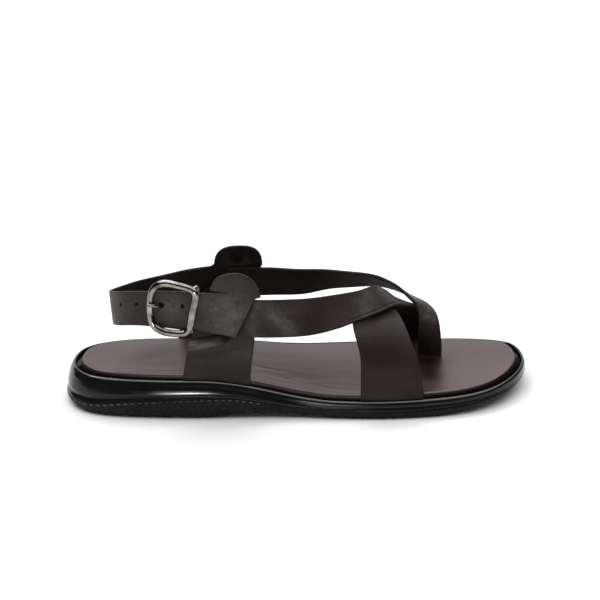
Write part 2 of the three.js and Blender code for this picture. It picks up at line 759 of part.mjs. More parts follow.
function buckleProng() {
  const under = -(STRAP_THICKNESS + CLEARANCE + PRONG_RADIUS + 0.4);
  const over = FRAME_LEVEL + FRAME_RADIUS + CLEARANCE * 1.5 + PRONG_RADIUS;
  const eyeRadius = BAR_RADIUS + CLEARANCE + EYE_RADIUS;
  const [top, bottom] = hingeEnds();
  const centre = top.clone().lerp(bottom, 0.5);
  const way = bottom.clone().sub(top).normalize();
  const below = onBuckle([-0.5, 0], -BUCKLE_WIDTH / 2).sub(onBuckle([0, 0], 0)).normalize();
  const path = [
    centre.clone().addScaledVector(below, eyeRadius + PRONG_RADIUS - EYE_RADIUS),
    onBuckle([0.46, -0.04], under),
    onBuckle([0.32, -0.03], under),
    onBuckle([0.00, 0], under),
    onBuckle([-0.22, 0], under),
    onBuckle([-0.32, 0], -1.6),
    onBuckle([-0.37, 0], 0.6),
    onBuckle([-0.45, 0.04], 3.2),
    onBuckle([-0.57, 0.08], over - 0.1),
    onBuckle([-0.74, 0.10], over),
  ];
  const tongue = rod(new THREE.CatmullRomCurve3(path, false, "centripetal"), 22, PRONG_RADIUS, 7);
  const eye = new THREE.TorusGeometry(eyeRadius, EYE_RADIUS, 6, 14);
  const turn = new THREE.Quaternion().setFromUnitVectors(new THREE.Vector3(0, 0, 1), way);
  eye.applyQuaternion(turn);
  eye.translate(centre.x, centre.y, centre.z);
  return fromGeometry(eye).add(tongue);
}

const LEATHER = 0x3a302e;
const group = new THREE.Group();
group.name = "strap_sandal";
group.add(toMesh("outsole", outsole(), 0x0e0e0f, 0.7, 0));
group.add(toMesh("midsole", midsole(), 0x101112, 0.3, 0));
group.add(toMesh("insole", insole(), 0x6b5a5b, 0.6, 0));
group.add(toMesh("upper", upper(), LEATHER, 0.55, 0));
group.add(toMesh("heel_strap", heelStrap(), LEATHER, 0.55, 0));
group.add(toMesh("buckle_frame", buckleFrame(), 0xa9a199, 0.25, 1));
group.add(toMesh("buckle_prong", buckleProng(), 0xa9a199, 0.25, 1));

// The part stands on the floor with the middle of its outline over the origin
function centreOnFloor() {
  const box = new THREE.Box3().setFromObject(group);
  const middle = box.getCenter(new THREE.Vector3());
  for (const mesh of group.children) mesh.geometry.translate(-middle.x, -middle.y, -box.min.z);
}
centreOnFloor();

export default group;
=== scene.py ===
"""A right strap sandal of dark leather on a moulded sole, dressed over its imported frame.

The tables hold shares of the named sizes, as in the part's source, and every length is in
millimetres until a mesh is made.
"""
import math

import bpy
import numpy as np
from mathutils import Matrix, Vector
from mathutils.geometry import delaunay_2d_cdt


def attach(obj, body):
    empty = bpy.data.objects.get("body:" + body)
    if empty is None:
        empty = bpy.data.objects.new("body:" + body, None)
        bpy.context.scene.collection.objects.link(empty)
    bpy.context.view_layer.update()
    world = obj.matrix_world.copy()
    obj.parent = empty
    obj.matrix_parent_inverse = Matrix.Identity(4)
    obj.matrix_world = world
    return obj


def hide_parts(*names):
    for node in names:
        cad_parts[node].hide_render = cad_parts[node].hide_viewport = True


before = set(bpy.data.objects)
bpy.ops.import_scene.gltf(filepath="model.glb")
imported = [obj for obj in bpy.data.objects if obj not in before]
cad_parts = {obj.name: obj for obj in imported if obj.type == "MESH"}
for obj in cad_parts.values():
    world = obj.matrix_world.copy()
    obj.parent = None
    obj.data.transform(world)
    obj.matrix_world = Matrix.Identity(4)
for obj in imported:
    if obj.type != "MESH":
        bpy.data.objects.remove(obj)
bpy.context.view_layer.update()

LENGTH = 285
BALL_WIDTH = 97
HEEL_HEIGHT = 23.5
INSTEP_HEIGHT = 72
STRAP_THICKNESS = 2
CLEARANCE = 0.3
LIP_WIDTH = 2.5
LIP_ROUND = 3.6
GROOVE_WIDTH = 3.5
RECESS_DEPTH = 3.4
MEDIAL_RISE = 3.6
TREAD_ROUND = 4
INSOLE_RISE = 2
INSOLE_ROLL = 1.7
INSOLE_DISH = 0.9
EAR_RADIUS = 15
EDGE_ROUND = 0.65
# Half thickness of the thin dark sheets that shut the holes, a painted shade in each hole
SHADE_PLUG_HALF = 0.1
LOBE_SQUARENESS = 2.7
HOLE_RADIUS = 0.9
FRAME_RADIUS = 1.9
BAR_RADIUS = 0.95
PRONG_RADIUS = 0.75
EYE_RADIUS = 0.5
FOLD_WALL = 1.15
FOLD_INSET = 2.6
PRONG_GAP = 5
BUCKLE_WIDTH = 21
SIDE_STEPS = 240

LATERAL_EDGE = [
    (0.015, -0.030), (0.023, -0.149), (0.038, -0.222), (0.058, -0.276), (0.098, -0.327),
    (0.165, -0.372), (0.265, -0.412), (0.377, -0.435), (0.479, -0.458), (0.570, -0.495),
    (0.675, -0.525), (0.763, -0.518), (0.835, -0.489), (0.879, -0.445), (0.921, -0.370),
    (0.957, -0.262), (0.984, -0.131), (0.999, 0.000), (1.002, 0.098),
]
MEDIAL_EDGE = [
    (0.999, 0.210), (0.986, 0.310), (0.959, 0.376), (0.916, 0.434), (0.865, 0.474),
    (0.798, 0.492), (0.700, 0.474), (0.605, 0.432), (0.518, 0.381), (0.430, 0.336),
    (0.342, 0.315), (0.254, 0.326), (0.167, 0.338), (0.104, 0.313), (0.063, 0.268),
    (0.035, 0.194), (0.019, 0.082),
]
# along, lip top, lift of the tread, tread line, bulge beyond the lip
SIDE = [
    (0.00, 1.000, 0.130, 0.270, 0.166), (0.04, 1.000, 0.050, 0.300, 0.155),
    (0.08, 1.000, 0.005, 0.350, 0.145), (0.13, 1.000, 0.000, 0.440, 0.135),
    (0.20, 1.000, 0.000, 0.510, 0.120), (0.30, 1.000, 0.015, 0.572, 0.105),
    (0.36, 0.915, 0.085, 0.560, 0.090), (0.42, 0.766, 0.115, 0.445, 0.075),
    (0.48, 0.596, 0.095, 0.340, 0.060), (0.54, 0.489, 0.035, 0.285, 0.055),
    (0.60, 0.460, 0.000, 0.240, 0.050), (0.70, 0.470, 0.000, 0.215, 0.045),
    (0.78, 0.485, 0.000, 0.220, 0.040), (0.84, 0.505, 0.085, 0.270, 0.030),
    (0.90, 0.535, 0.220, 0.335, 0.020), (0.95, 0.575, 0.295, 0.378, 0.010),
    (1.00, 0.617, 0.345, 0.405, 0.000),
]
# share of the way down from the lip to the tread line, share of the bulge
MIDSOLE_SIDE = [
    (0.00, 0.28), (0.12, 0.42), (0.24, 0.55), (0.34, 0.635), (0.44, 0.715), (0.54, 0.775),
    (0.60, 0.775), (0.67, 0.66), (0.74, 0.60), (0.82, 0.69), (0.91, 0.87), (1.00, 1.00),
]
# share of the way down from the tread line, share of the rounding drawn in
TREAD_SIDE = [(0.00, 0.00), (0.12, -0.02), (0.45, 0.04), (0.72, 0.22), (0.92, 0.56), (1.00, 1.00)]

# Straps: along, across, height of the rear or upper edge, then of the front or lower edge
INSTEP_STRAP = [
    (0.339, -0.325, 1.008, 0.346, -0.363, 0.712), (0.374, -0.340, 1.007, 0.372, -0.393, 0.709),
    (0.412, -0.357, 1.006, 0.402, -0.418, 0.706), (0.513, -0.311, 0.986, 0.510, -0.423, 0.714),
    (0.582, -0.239, 0.981, 0.579, -0.373, 0.749), (0.623, -0.168, 0.969, 0.619, -0.315, 0.776),
    (0.659, -0.077, 0.962, 0.663, -0.233, 0.792), (0.685, 0.057, 0.860, 0.707, -0.082, 0.782),
    (0.709, 0.165, 0.740, 0.733, 0.010, 0.738), (0.724, 0.247, 0.650, 0.760, 0.108, 0.676),
    (0.711, 0.335, 0.486, 0.784, 0.253, 0.542), (0.688, 0.397, 0.319, 0.802, 0.361, 0.368),
]
INSTEP_FOOT = (0.672, 0.809)
BALL_STRAP = [
    (0.612, -0.262, 0.870, 0.702, -0.031, 0.782), (0.607, -0.288, 0.830, 0.713, -0.124, 0.735),
    (0.608, -0.346, 0.739, 0.718, -0.232, 0.711), (0.612, -0.412, 0.661, 0.725, -0.330, 0.643),
    (0.618, -0.454, 0.560, 0.734, -0.402, 0.553), (0.620, -0.474, 0.431, 0.745, -0.459, 0.410),
]
BALL_FOOT = (0.620, 0.754)
TOE_STRAP = [
    (0.353, 0.276, 0.984, 0.353, 0.342, 0.697), (0.433, 0.271, 0.980, 0.433, 0.344, 0.694),
    (0.512, 0.278, 0.953, 0.515, 0.374, 0.680), (0.582, 0.273, 0.936, 0.587, 0.392, 0.714),
    (0.651, 0.240, 0.914, 0.657, 0.385, 0.735), (0.686, 0.206, 0.889, 0.696, 0.359, 0.738),
    (0.719, 0.160, 0.836, 0.733, 0.314, 0.712), (0.744, 0.116, 0.758, 0.762, 0.258, 0.676),
    (0.757, 0.091, 0.706, 0.787, 0.201, 0.646), (0.765, 0.085, 0.628, 0.803, 0.149, 0.603),
    (0.768, 0.093, 0.550, 0.811, 0.124, 0.542), (0.769, 0.134, 0.396, 0.817, 0.129, 0.431),
    (0.771, 0.187, 0.236, 0.822, 0.151, 0.264), (0.772, 0.206, 0.115, 0.823, 0.163, 0.115),
]
LATERAL_STAY = [
    (0.314, -0.309, 0.889, 0.391, -0.361, 0.917), (0.290, -0.305, 0.764, 0.398, -0.388, 0.792),
    (0.265, -0.333, 0.653, 0.400, -0.398, 0.680), (0.256, -0.371, 0.500, 0.393, -0.404, 0.472),
]
LATERAL_STAY_FOOT = (0.249, 0.390)
MEDIAL_STAY = [
    (0.350, 0.278, 0.917, 0.386, 0.279, 0.917), (0.332, 0.290, 0.861, 0.388, 0.292, 0.861),
    (0.282, 0.320, 0.694, 0.395, 0.327, 0.694), (0.258, 0.314, 0.528, 0.388, 0.320, 0.528),
]
MEDIAL_STAY_FOOT = (0.244, 0.384)
HEEL_STRAP = [
    (0.334, 0.305, 0.990, 0.334, 0.366, 0.694), (0.324, 0.309, 0.989, 0.324, 0.361, 0.694),
    (0.268, 0.304, 0.966, 0.268, 0.345, 0.672), (0.212, 0.278, 0.932, 0.216, 0.309, 0.640),
    (0.163, 0.222, 0.919, 0.167, 0.242, 0.624), (0.125, 0.124, 0.922, 0.129, 0.134, 0.626),
    (0.102, 0.000, 0.949, 0.108, 0.000, 0.649), (0.116, -0.113, 0.993, 0.119, -0.119, 0.694),
    (0.140, -0.192, 1.033, 0.142, -0.206, 0.739), (0.174, -0.247, 1.058, 0.174, -0.268, 0.763),
    (0.212, -0.275, 1.069, 0.212, -0.296, 0.758), (0.251, -0.303, 1.075, 0.251, -0.324, 0.747),
    (0.2745, -0.320, 1.078, 0.2655, -0.334, 0.744),
]
LATERAL_DISC = (0.361, 1.022)
LATERAL_FRONT = [(0.412, -0.441, 0.708), (0.412, -0.346, 1.111)]
MEDIAL_DISC = (0.378, 0.983)
MEDIAL_REAR = [(0.317, 0.369, 0.694), (0.317, 0.262, 1.181)]
MEDIAL_FRONT = [(0.425, 0.369, 0.694), (0.425, 0.262, 1.181)]
CARRIER_LOWER = [(0.318, 0.729), (0.360, 0.706), (0.381, 0.868), (0.401, 1.022)]
CARRIER_NOTCH = (0.341, 1.074)
MEDIAL_LOWER = [(0.318, 0.700), (0.361, 0.697), (0.392, 0.850), (0.427, 0.968)]
MEDIAL_UPPER = (0.318, 0.989)
BUCKLE_PLACE = (0.2333, -0.3103, 0.942)
FRAME_LOOP = [
    (-0.66, 0.00), (-0.62, 0.36), (-0.48, 0.60), (-0.24, 0.71), (0.14, 0.67), (0.54, 0.57),
    (0.66, 0.46), (0.57, -0.08), (0.45, -0.60), (0.33, -0.71), (0.00, -0.735), (-0.32, -0.69),
    (-0.56, -0.54), (-0.65, -0.26),
]
FRAME_STOUT = [
    0.92, 0.98, 1.12, 1.18, 1.08, 1.06, 1.12, 1.22, 1.08, 1.10, 1.20, 1.20, 1.10, 0.98,
]
HINGE_TOP = (0.68, 0.56)
HINGE_BOTTOM = (0.475, -0.75)
HINGE_LEVEL = -2.45
HOLES = [(-1.58, -0.14), (-1.07, -0.05), (0.25, 0.03)]
PRONG_HOLE = -0.35


# Small numeric helpers
def vec(*values):
    return np.array(values, float)


def place(a, c, h):
    return vec((a - 0.5) * LENGTH, c * BALL_WIDTH, h * INSTEP_HEIGHT)


def unit(v):
    return v / np.maximum(np.linalg.norm(v, axis=-1, keepdims=True), 1e-12)


def ease(t):
    t = np.clip(t, 0, 1)
    return t * t * (3 - 2 * t)


def bell(x, centre, width):
    return np.exp(-((x - centre) / width) ** 2)


def patch(dx, dy, long, wide, turn):
    """Bell over an ellipse that is turned by so many degrees."""
    t = math.radians(turn)
    u = (dx * math.cos(t) + dy * math.sin(t)) / long
    v = (dy * math.cos(t) - dx * math.sin(t)) / wide
    return np.exp(-(u * u + v * v))


def catmull(points, ts, closed=False):
    """Centripetal curve through points, at shares ts of its segments. Points may be columns."""
    p = np.asarray(points, float)
    n = len(p)
    last = n if closed else n - 1
    u = np.clip(np.asarray(ts, float), 0, 1) * last
    seg = np.minimum(u.astype(int), last - 1)
    w = (u - seg).reshape((-1,) + (1,) * (p.ndim - 1))
    if closed:
        a, b, c, d = (p[(seg + k) % n] for k in (-1, 0, 1, 2))
    else:
        full = np.concatenate([[2 * p[0] - p[1]], p, [2 * p[-1] - p[-2]]])
        a, b, c, d = (full[seg + k] for k in (0, 1, 2, 3))

    def gap(x, y):
        return np.maximum(np.linalg.norm(x - y, axis=-1, keepdims=True), 1e-9) ** 0.5

    d0, d1, d2 = gap(a, b), gap(b, c), gap(c, d)
    m1 = ((b - a) / d0 - (c - a) / (d0 + d1) + (c - b) / d1) * d1
    m2 = ((c - b) / d1 - (d - b) / (d1 + d2) + (d - c) / d2) * d1
    return (b + m1 * w + (-3 * b + 3 * c - 2 * m1 - m2) * w ** 2
            + (2 * b - 2 * c + m1 + m2) * w ** 3)


def table_at(column, share):
    rows = np.array(SIDE)
    x, y = rows[:, 0], rows[:, column]
    full_x = np.concatenate([[x[0]], x, [x[-1]]])
    full_y = np.concatenate([[y[0]], y, [y[-1]]])
    slope = (full_y[2:] - full_y[:-2]) / (full_x[2:] - full_x[:-2])
    s = np.clip(share, x[0], x[-1])
    k = np.clip(np.searchsorted(x, s, side="left") - 1, 0, len(x) - 2)
    span = x[k + 1] - x[k]
    t = (s - x[k]) / span
    return ((2 * t ** 3 - 3 * t ** 2 + 1) * y[k] + (t ** 3 - 2 * t ** 2 + t) * span * slope[k]
            + (3 * t ** 2 - 2 * t ** 3) * y[k + 1] + (t ** 3 - t ** 2) * span * slope[k + 1])


def around(loop):
    """From each point's last neighbour to its next one, on a closed loop."""
    return np.roll(loop, -1, axis=0) - np.roll(loop, 1, axis=0)


def run_of(line):
    """Distance along a line at each of its points."""
    return np.concatenate([[0], np.cumsum(np.linalg.norm(np.diff(line, axis=0), axis=1))])


def lip_edge():
    """The lip's edge, the same outline as the part's, in finer steps."""
    rows = LATERAL_EDGE + MEDIAL_EDGE
    points = [place(a, c, 0) for a, c in rows]
    line = catmull(points, np.linspace(0, 1, 7201), closed=True)
    run = run_of(line)
    toe = run[round((len(LATERAL_EDGE) - 1) / len(rows) * 7200)]
    steps = np.concatenate([
        np.linspace(0, toe, SIDE_STEPS, endpoint=False),
        np.linspace(toe, run[-1], SIDE_STEPS, endpoint=False),
    ])
    return np.stack([np.interp(steps, run, line[:, k]) for k in range(3)], axis=1)


EDGE = lip_edge()
COUNT = len(EDGE)
STEP = around(EDGE)
OUTWARD = unit(np.stack([STEP[:, 1], -STEP[:, 0], np.zeros(COUNT)], axis=1))
LATERAL_SIDE = EDGE[:SIDE_STEPS + 1]
MEDIAL_SIDE = np.concatenate([EDGE[SIDE_STEPS:], EDGE[:1]])[::-1]


def sides_at(x):
    return (np.interp(x, LATERAL_SIDE[:, 0], LATERAL_SIDE[:, 1]),
            np.interp(x, MEDIAL_SIDE[:, 0], MEDIAL_SIDE[:, 1]))


def lip_top(x, y):
    share = x / LENGTH + 0.5
    lateral, medial = sides_at(x)
    side = np.clip((y - lateral) / np.maximum(medial - lateral, 1), 0, 1)
    rise = MEDIAL_RISE * ease(1 - np.abs(share - 0.53) / 0.25)
    return table_at(1, share) * HEEL_HEIGHT + rise * side


def lift(x):
    return np.maximum(table_at(2, x / LENGTH + 0.5), 0) * HEEL_HEIGHT


def tread_line(x):
    return table_at(3, x / LENGTH + 0.5) * HEEL_HEIGHT


def bulge(x):
    return np.maximum(table_at(4, x / LENGTH + 0.5), 0) * HEEL_HEIGHT


def from_lip(height):
    return lambda x, y: lip_top(x, y) + height


def ring(offset, height):
    q = EDGE + OUTWARD * np.broadcast_to(offset, COUNT)[:, None]
    q[:, 2] = height(q[:, 0], q[:, 1]) if callable(height) else height
    return q


EX, EY = EDGE[:, 0], EDGE[:, 1]
EDGE_TOP = lip_top(EX, EY)
BULGE = bulge(EX)

# The part stands with the middle of its outline over the origin
reach = EDGE + OUTWARD * BULGE[:, None]
MIDDLE = vec((reach[:, 0].min() + reach[:, 0].max()) / 2,
             (reach[:, 1].min() + reach[:, 1].max()) / 2, 0)


# Painted sheen and highlights where the strength is positive, painted shade and shadows where negative:
# piece, middle in millimetres (along and up, or along and across for the footbed), half length, half
# width, turn, strength
PAINTED_LIGHT_PATCHES = [
    ("buckle_carrier", -44, 62, 9, 14, -20, 0.60), ("buckle_carrier", -58, 71, 8, 5, 0, 0.25),
    ("buckle_carrier", -36, 80, 8, 7, 0, -0.12), ("instep_strap", -15, 62, 16, 5, -45, 0.55),
    ("instep_strap", -30, 60, 4, 12, 0, 0.25), ("instep_strap", -33.2, 62, 14, 0.8, 63.5, -0.95),
    ("instep_strap", 42, 64, 9, 9, 0, 0.40), ("instep_strap", -6, 66, 9, 7, 0, 0.15),
    ("heel_band", -79, 69, 9, 8, 0, 0.40), ("heel_band", -105, 66, 9, 9, 0, 0.08),
    ("lateral_stay", -58, 44.6, 9, 1.3, 11, 1.0), ("lateral_stay", -52, 50.6, 20, 2.6, 5, -1.3),
    ("lateral_stay", -48, 33, 20, 9, 0, -0.30), ("toe_strap", 84, 44, 8, 13, 0, 0.55),
    ("ball_strap", 48, 48, 12, 12, 0, -0.25), ("footbed_pad", 2, -18, 28, 20, 0, -0.42),
    ("footbed_pad", 83, 8, 10, 10, 0, -0.8), ("footbed_pad", 81, -14, 9, 17, 0, -0.95),
    ("medial_ear", -36, 72.3, 8, 0.7, 0, 0.9), ("medial_ear", -41, 74.5, 2, 3, 0, 0.5),
    ("medial_ear", -30, 74.5, 3, 3, 0, 0.6), ("medial_ear", -36, 76, 4, 3, 0, -0.5),
    ("footbed_pad", 68, 31, 8, 14, 0, -0.9), ("footbed_pad", 76, -37, 11, 8, 0, -0.45),
]


def shading(points, name):
    """Painted light laid on a piece at each of its points: painted sheen where positive, painted shade
    where negative.
    """
    out = np.zeros(len(points))
    for piece, x, z, long, wide, turn, strength in PAINTED_LIGHT_PATCHES:
        if piece == name:
            dz = points[:, 1 if name == "footbed_pad" else 2] - z
            out += strength * patch(points[:, 0] - x, dz, long, wide, turn)
    return out


# Meshes
def add_object(name, data):
    obj = bpy.data.objects.new(name, data)
    bpy.context.scene.collection.objects.link(obj)
    return obj


def room_inside(mesh):
    """Volume of a closed mesh, negative where its faces look inwards."""
    mesh.calc_loop_triangles()
    spots = np.empty(len(mesh.vertices) * 3, np.float32)
    corners = np.empty(len(mesh.loop_triangles) * 3, np.int32)
    mesh.vertices.foreach_get("co", spots)
    mesh.loop_triangles.foreach_get("vertices", corners)
    spots = spots.reshape(-1, 3).astype(float)
    a, b, c = (spots - spots.mean(axis=0))[corners].reshape(-1, 3, 3).transpose(1, 0, 2)
    return np.sum(a * np.cross(b, c)) / 6


def make(name, points, faces, material, node, edge=None, lined=None):
    """One piece on its body. The faces numbered in lined get the lining."""
    mesh = bpy.data.meshes.new(name)
    spots = (np.asarray(points, float) - MIDDLE) / 1000
    mesh.from_pydata(spots.tolist(), [], [list(map(int, f)) for f in faces])
    if lined is not None:
        which = np.zeros(len(faces), np.int32)
        which[lined] = 1
        mesh.polygons.foreach_set("material_index", which)
    mesh.validate()
    if room_inside(mesh) < 0:
        mesh.flip_normals()
    mesh.polygons.foreach_set("use_smooth", [True] * len(mesh.polygons))
    if edge is not None:
        # The tone layer carries the painted sheen and painted shade that shading() lays on.
        for key, values in (("rim", edge), ("tone", shading(np.asarray(points, float), name))):
            layer = mesh.attributes.new(key, "FLOAT", "POINT")
            layer.data.foreach_set("value", np.asarray(values, np.float32))
    mesh.materials.append(material)
    if lined is not None:
        mesh.materials.append(LINING)
    obj = add_object(name, mesh)
    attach(obj, "root")
    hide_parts(node)
    return obj


def strip_faces(rows, columns, wrap=False):
    """Quads of a grid numbered row by row."""
    faces = []
    for r in range(rows - 1):
        for c in range(columns if wrap else columns - 1):
            d = (c + 1) % columns
            a, b = r * columns, (r + 1) * columns
            faces.append([a + c, a + d, b + d, b + c])
    return faces


def across_faces(start, flip):
    """Closes a ring between its lateral and medial halves."""
    faces = []
    for k in range(SIDE_STEPS):
        a, b = start + k, start + k + 1
        c, d = start + (COUNT - k - 1) % COUNT, start + (COUNT - k) % COUNT
        quad = list(dict.fromkeys([a, b, c, d]))
        if len(quad) > 2:
            faces.append(quad[::-1] if flip else quad)
    return faces


def ring_mesh(name, rings, material, node, edge=None):
    points = np.concatenate(rings)
    faces = strip_faces(len(rings), COUNT, wrap=True)
    faces += across_faces(0, True)
    faces += across_faces((len(rings) - 1) * COUNT, False)
    return make(name, points, faces, material, node, edge)


# Materials
class Nodes:
    """Small helper for a material's node tree."""

    def __init__(self, name):
        self.material = bpy.data.materials.new(name)
        self.material.use_nodes = True
        self.tree = self.material.node_tree
        self.shader = self.tree.nodes["Principled BSDF"]
        self.place = self.new("TexCoord").outputs["Object"]

    def fill(self, socket, value):
        """Gives a socket a plain value, or a link from another node's output."""
        if isinstance(value, bpy.types.NodeSocket):
            self.tree.links.new(value, socket)
        else:
            socket.default_value = value

    def put(self, node, inputs):
        for key, value in inputs.items():
            self.fill(node.inputs[key.replace("_", " ")], value)
        return node

    def new(self, kind, **inputs):
        return self.put(self.tree.nodes.new("ShaderNode" + kind), inputs)

    def set(self, **inputs):
        self.put(self.shader, inputs)

    def noise(self, scale, detail=2.0, rough=0.5, stretch=None):
        vector = self.place
        if stretch:
            vector = self.new("Mapping", Scale=stretch, Vector=self.place).outputs["Vector"]
        node = self.new("TexNoise", Scale=scale, Detail=detail, Roughness=rough, Vector=vector)
        return node.outputs["Fac"]

    def cells(self, scale, feature):
        node = self.new("TexVoronoi", Scale=scale, Vector=self.place)
        node.feature = feature
        return node.outputs["Distance"]

    def layer(self, name):
        node = self.new("Attribute")
        node.attribute_name = name
        return node.outputs["Fac"]

    def curve(self, value, low, high, to_low, to_high):
        node = self.new("MapRange", Value=value, From_Min=low, From_Max=high,
                        To_Min=to_low, To_Max=to_high)
        return node.outputs["Result"]

    def maths(self, kind, a, b):
        node = self.new("Math")
        node.operation = kind
        for socket, value in zip(node.inputs, (a, b)):
            self.fill(socket, value)
        return node.outputs[0]

    def mix(self, amount, a, b):
        node = self.new("Mix")
        node.data_type = "RGBA"
        self.fill(node.inputs["Factor"], amount)
        for key, value in (("A", a), ("B", b)):
            socket = [s for s in node.inputs if s.name == key and s.type == "RGBA"][0]
            self.fill(socket, (*value, 1) if isinstance(value, tuple) else value)
        return [s for s in node.outputs if s.type == "RGBA"][0]

    def bump(self, height, strength, distance, before=None):
        node = self.new("Bump", Height=height, Strength=strength, Distance=distance)
        if before is not None:
            self.fill(node.inputs["Normal"], before)
        return node.outputs["Normal"]


def leather(name, light, dark, edge, rough=(0.34, 0.50), gloss=0.2, painted_sheen_colour=(0.13, 0.122, 0.118)):
    n = Nodes(name)
    # The tone layer is painted light. Where it is positive, a mottled painted sheen lightens the colour
    # and lowers the roughness. Where it is negative, painted shade takes the colour towards near black.
    painted_light_mask = n.layer("tone")
    mottle = n.curve(n.noise(120, 3, 0.6, (1, 1, 1.4)), 0.34, 0.66, 0.55, 1.35)
    painted_sheen_amount = n.curve(n.maths("MULTIPLY", painted_light_mask, mottle), 0, 1, 0, 1)
    tone = n.curve(n.noise(26, 4, 0.55, (1, 1, 1.7)), 0.36, 0.66, 0, 1)
    fine = n.curve(n.noise(480, 3, 0.65), 0.34, 0.66, 0, 1)
    body = n.mix(tone, dark, light)
    body = n.mix(n.curve(painted_light_mask, 0, -1, 0, 1), n.mix(painted_sheen_amount, body, painted_sheen_colour), (0.0015, 0.001, 0.001))
    speck = n.mix(n.maths("MULTIPLY", fine, 0.45), body, dark)
    n.set(Base_Color=n.mix(n.layer("rim"), speck, edge))
    skin = n.curve(n.noise(60, 4, 0.6), 0.3, 0.7, *rough)
    n.set(Roughness=n.maths("SUBTRACT", skin, n.maths("MULTIPLY", painted_sheen_amount, 0.08)))
    pores = n.cells(1150, "SMOOTH_F1")
    grain = n.bump(pores, 0.35, 0.0004)
    grain = n.bump(n.noise(900, 3, 0.6), 0.28, 0.0005, grain)
    grain = n.bump(n.noise(80, 3, 0.5), 0.2, 0.002, grain)
    n.set(Normal=grain)
    n.set(Specular_IOR_Level=gloss)
    return n.material


def sole_rubber(name, dark, light, gloss):
    n = Nodes(name)
    tone = n.curve(n.noise(35, 3), 0.3, 0.7, 0, 1)
    n.set(Base_Color=n.mix(tone, dark, light))
    n.set(Specular_IOR_Level=n.curve(n.layer("rim"), 0, 1, gloss, 1.0))
    n.set(Roughness=n.curve(n.noise(90, 4, 0.6), 0.3, 0.7, 0.11, 0.20))
    n.set(Normal=n.bump(n.noise(1300, 3, 0.6), 0.05, 0.00015, n.bump(n.noise(45, 2), 0.06, 0.002)))
    return n.material


def tread_rubber():
    n = Nodes("tread_grain")
    tone = n.curve(n.noise(420, 4, 0.75), 0.5, 0.78, 0, 1)
    n.set(Base_Color=n.mix(tone, (0.0028, 0.0028, 0.0031), (0.022, 0.0225, 0.024)))
    n.set(Roughness=n.curve(n.noise(900, 3, 0.7), 0.35, 0.7, 0.62, 0.34))
    grain = n.bump(n.cells(620, "F1"), 0.8, 0.0012)
    n.set(Normal=n.bump(n.noise(1500, 4, 0.7), 0.5, 0.0006, grain))
    n.set(Specular_IOR_Level=0.18)
    return n.material


def footbed():
    n = Nodes("footbed_leather")
    tone = n.curve(n.noise(14, 4, 0.55, (0.55, 1.6, 1)), 0.32, 0.7, 0, 1)
    fine = n.curve(n.noise(500, 3, 0.6), 0.3, 0.7, 0, 1)
    body = n.mix(tone, (0.044, 0.023, 0.023), (0.074, 0.044, 0.044))
    speck = n.mix(n.maths("MULTIPLY", fine, 0.2), body, (0.040, 0.021, 0.021))
    # Painted shade: where the tone layer is negative, the colour goes towards near black and the
    # reflection is turned down with it.
    speck = n.mix(n.curve(n.layer("tone"), 0, -1, 0, 1), speck, (0.010, 0.004, 0.004))
    edge = n.mix(n.layer("rim"), speck, (0.016, 0.006, 0.006))
    # Painted highlight: a lighter pink line along the rolled edge, where the rim ramp passes its
    # middle.
    roll = n.maths("MULTIPLY", n.layer("rim"), n.maths("SUBTRACT", 1.0, n.layer("rim")))
    n.set(Base_Color=n.mix(n.maths("MULTIPLY", roll, 2.2), edge, (0.15, 0.095, 0.092)))
    n.set(Roughness=n.curve(n.noise(50, 4, 0.6, (0.6, 1.8, 1)), 0.3, 0.7, 0.30, 0.42))
    grain = n.bump(n.cells(1250, "SMOOTH_F1"), 0.16, 0.00025)
    grain = n.bump(n.noise(60, 3, 0.5, (0.6, 1.7, 1)), 0.2, 0.0022, grain)
    n.set(Normal=grain)
    n.set(Specular_IOR_Level=n.curve(n.layer("tone"), -1, 0, 0.12, 0.5))
    return n.material


def nickel():
    n = Nodes("buckle_nickel")
    tone = n.curve(n.noise(100, 3), 0.36, 0.64, 0, 1)
    n.set(Base_Color=n.mix(tone, (0.105, 0.095, 0.082), (0.40, 0.375, 0.345)))
    n.set(Roughness=n.curve(n.noise(420, 4, 0.7), 0.3, 0.75, 0.07, 0.17))
    n.set(Normal=n.bump(n.noise(300, 3, 0.6), 0.03, 0.0003))
    n.set(Metallic=1.0)
    return n.material


LEATHER = leather("strap_leather", (0.034, 0.0245, 0.0205), (0.018, 0.0125, 0.0105),
                  (0.018, 0.0135, 0.0120))
MIXED = leather("instep_leather", (0.027, 0.0180, 0.0160), (0.014, 0.0090, 0.0080),
                (0.013, 0.0090, 0.0080))
WARM = leather("warm_leather", (0.028, 0.0165, 0.0158), (0.018, 0.0108, 0.0102),
               (0.011, 0.0075, 0.0070), gloss=0.13)
LINING = leather("strap_lining", (0.034, 0.025, 0.023), (0.020, 0.0147, 0.0138),
                 (0.018, 0.0130, 0.0122), (0.60, 0.74), 0.06, (0.085, 0.066, 0.062))
GLOSS = sole_rubber("sole_gloss", (0.0036, 0.0038, 0.0046), (0.0064, 0.0067, 0.0078), 0.26)
# The tread dashes' lighter grey is a painted glint, and their higher gloss is real.
PAINTED_GLINT_RUBBER = sole_rubber("painted_glint_gloss", (0.012, 0.0125, 0.014), (0.15, 0.152, 0.158), 0.5)
TREAD = tread_rubber()
FOOTBED = footbed()
NICKEL = nickel()


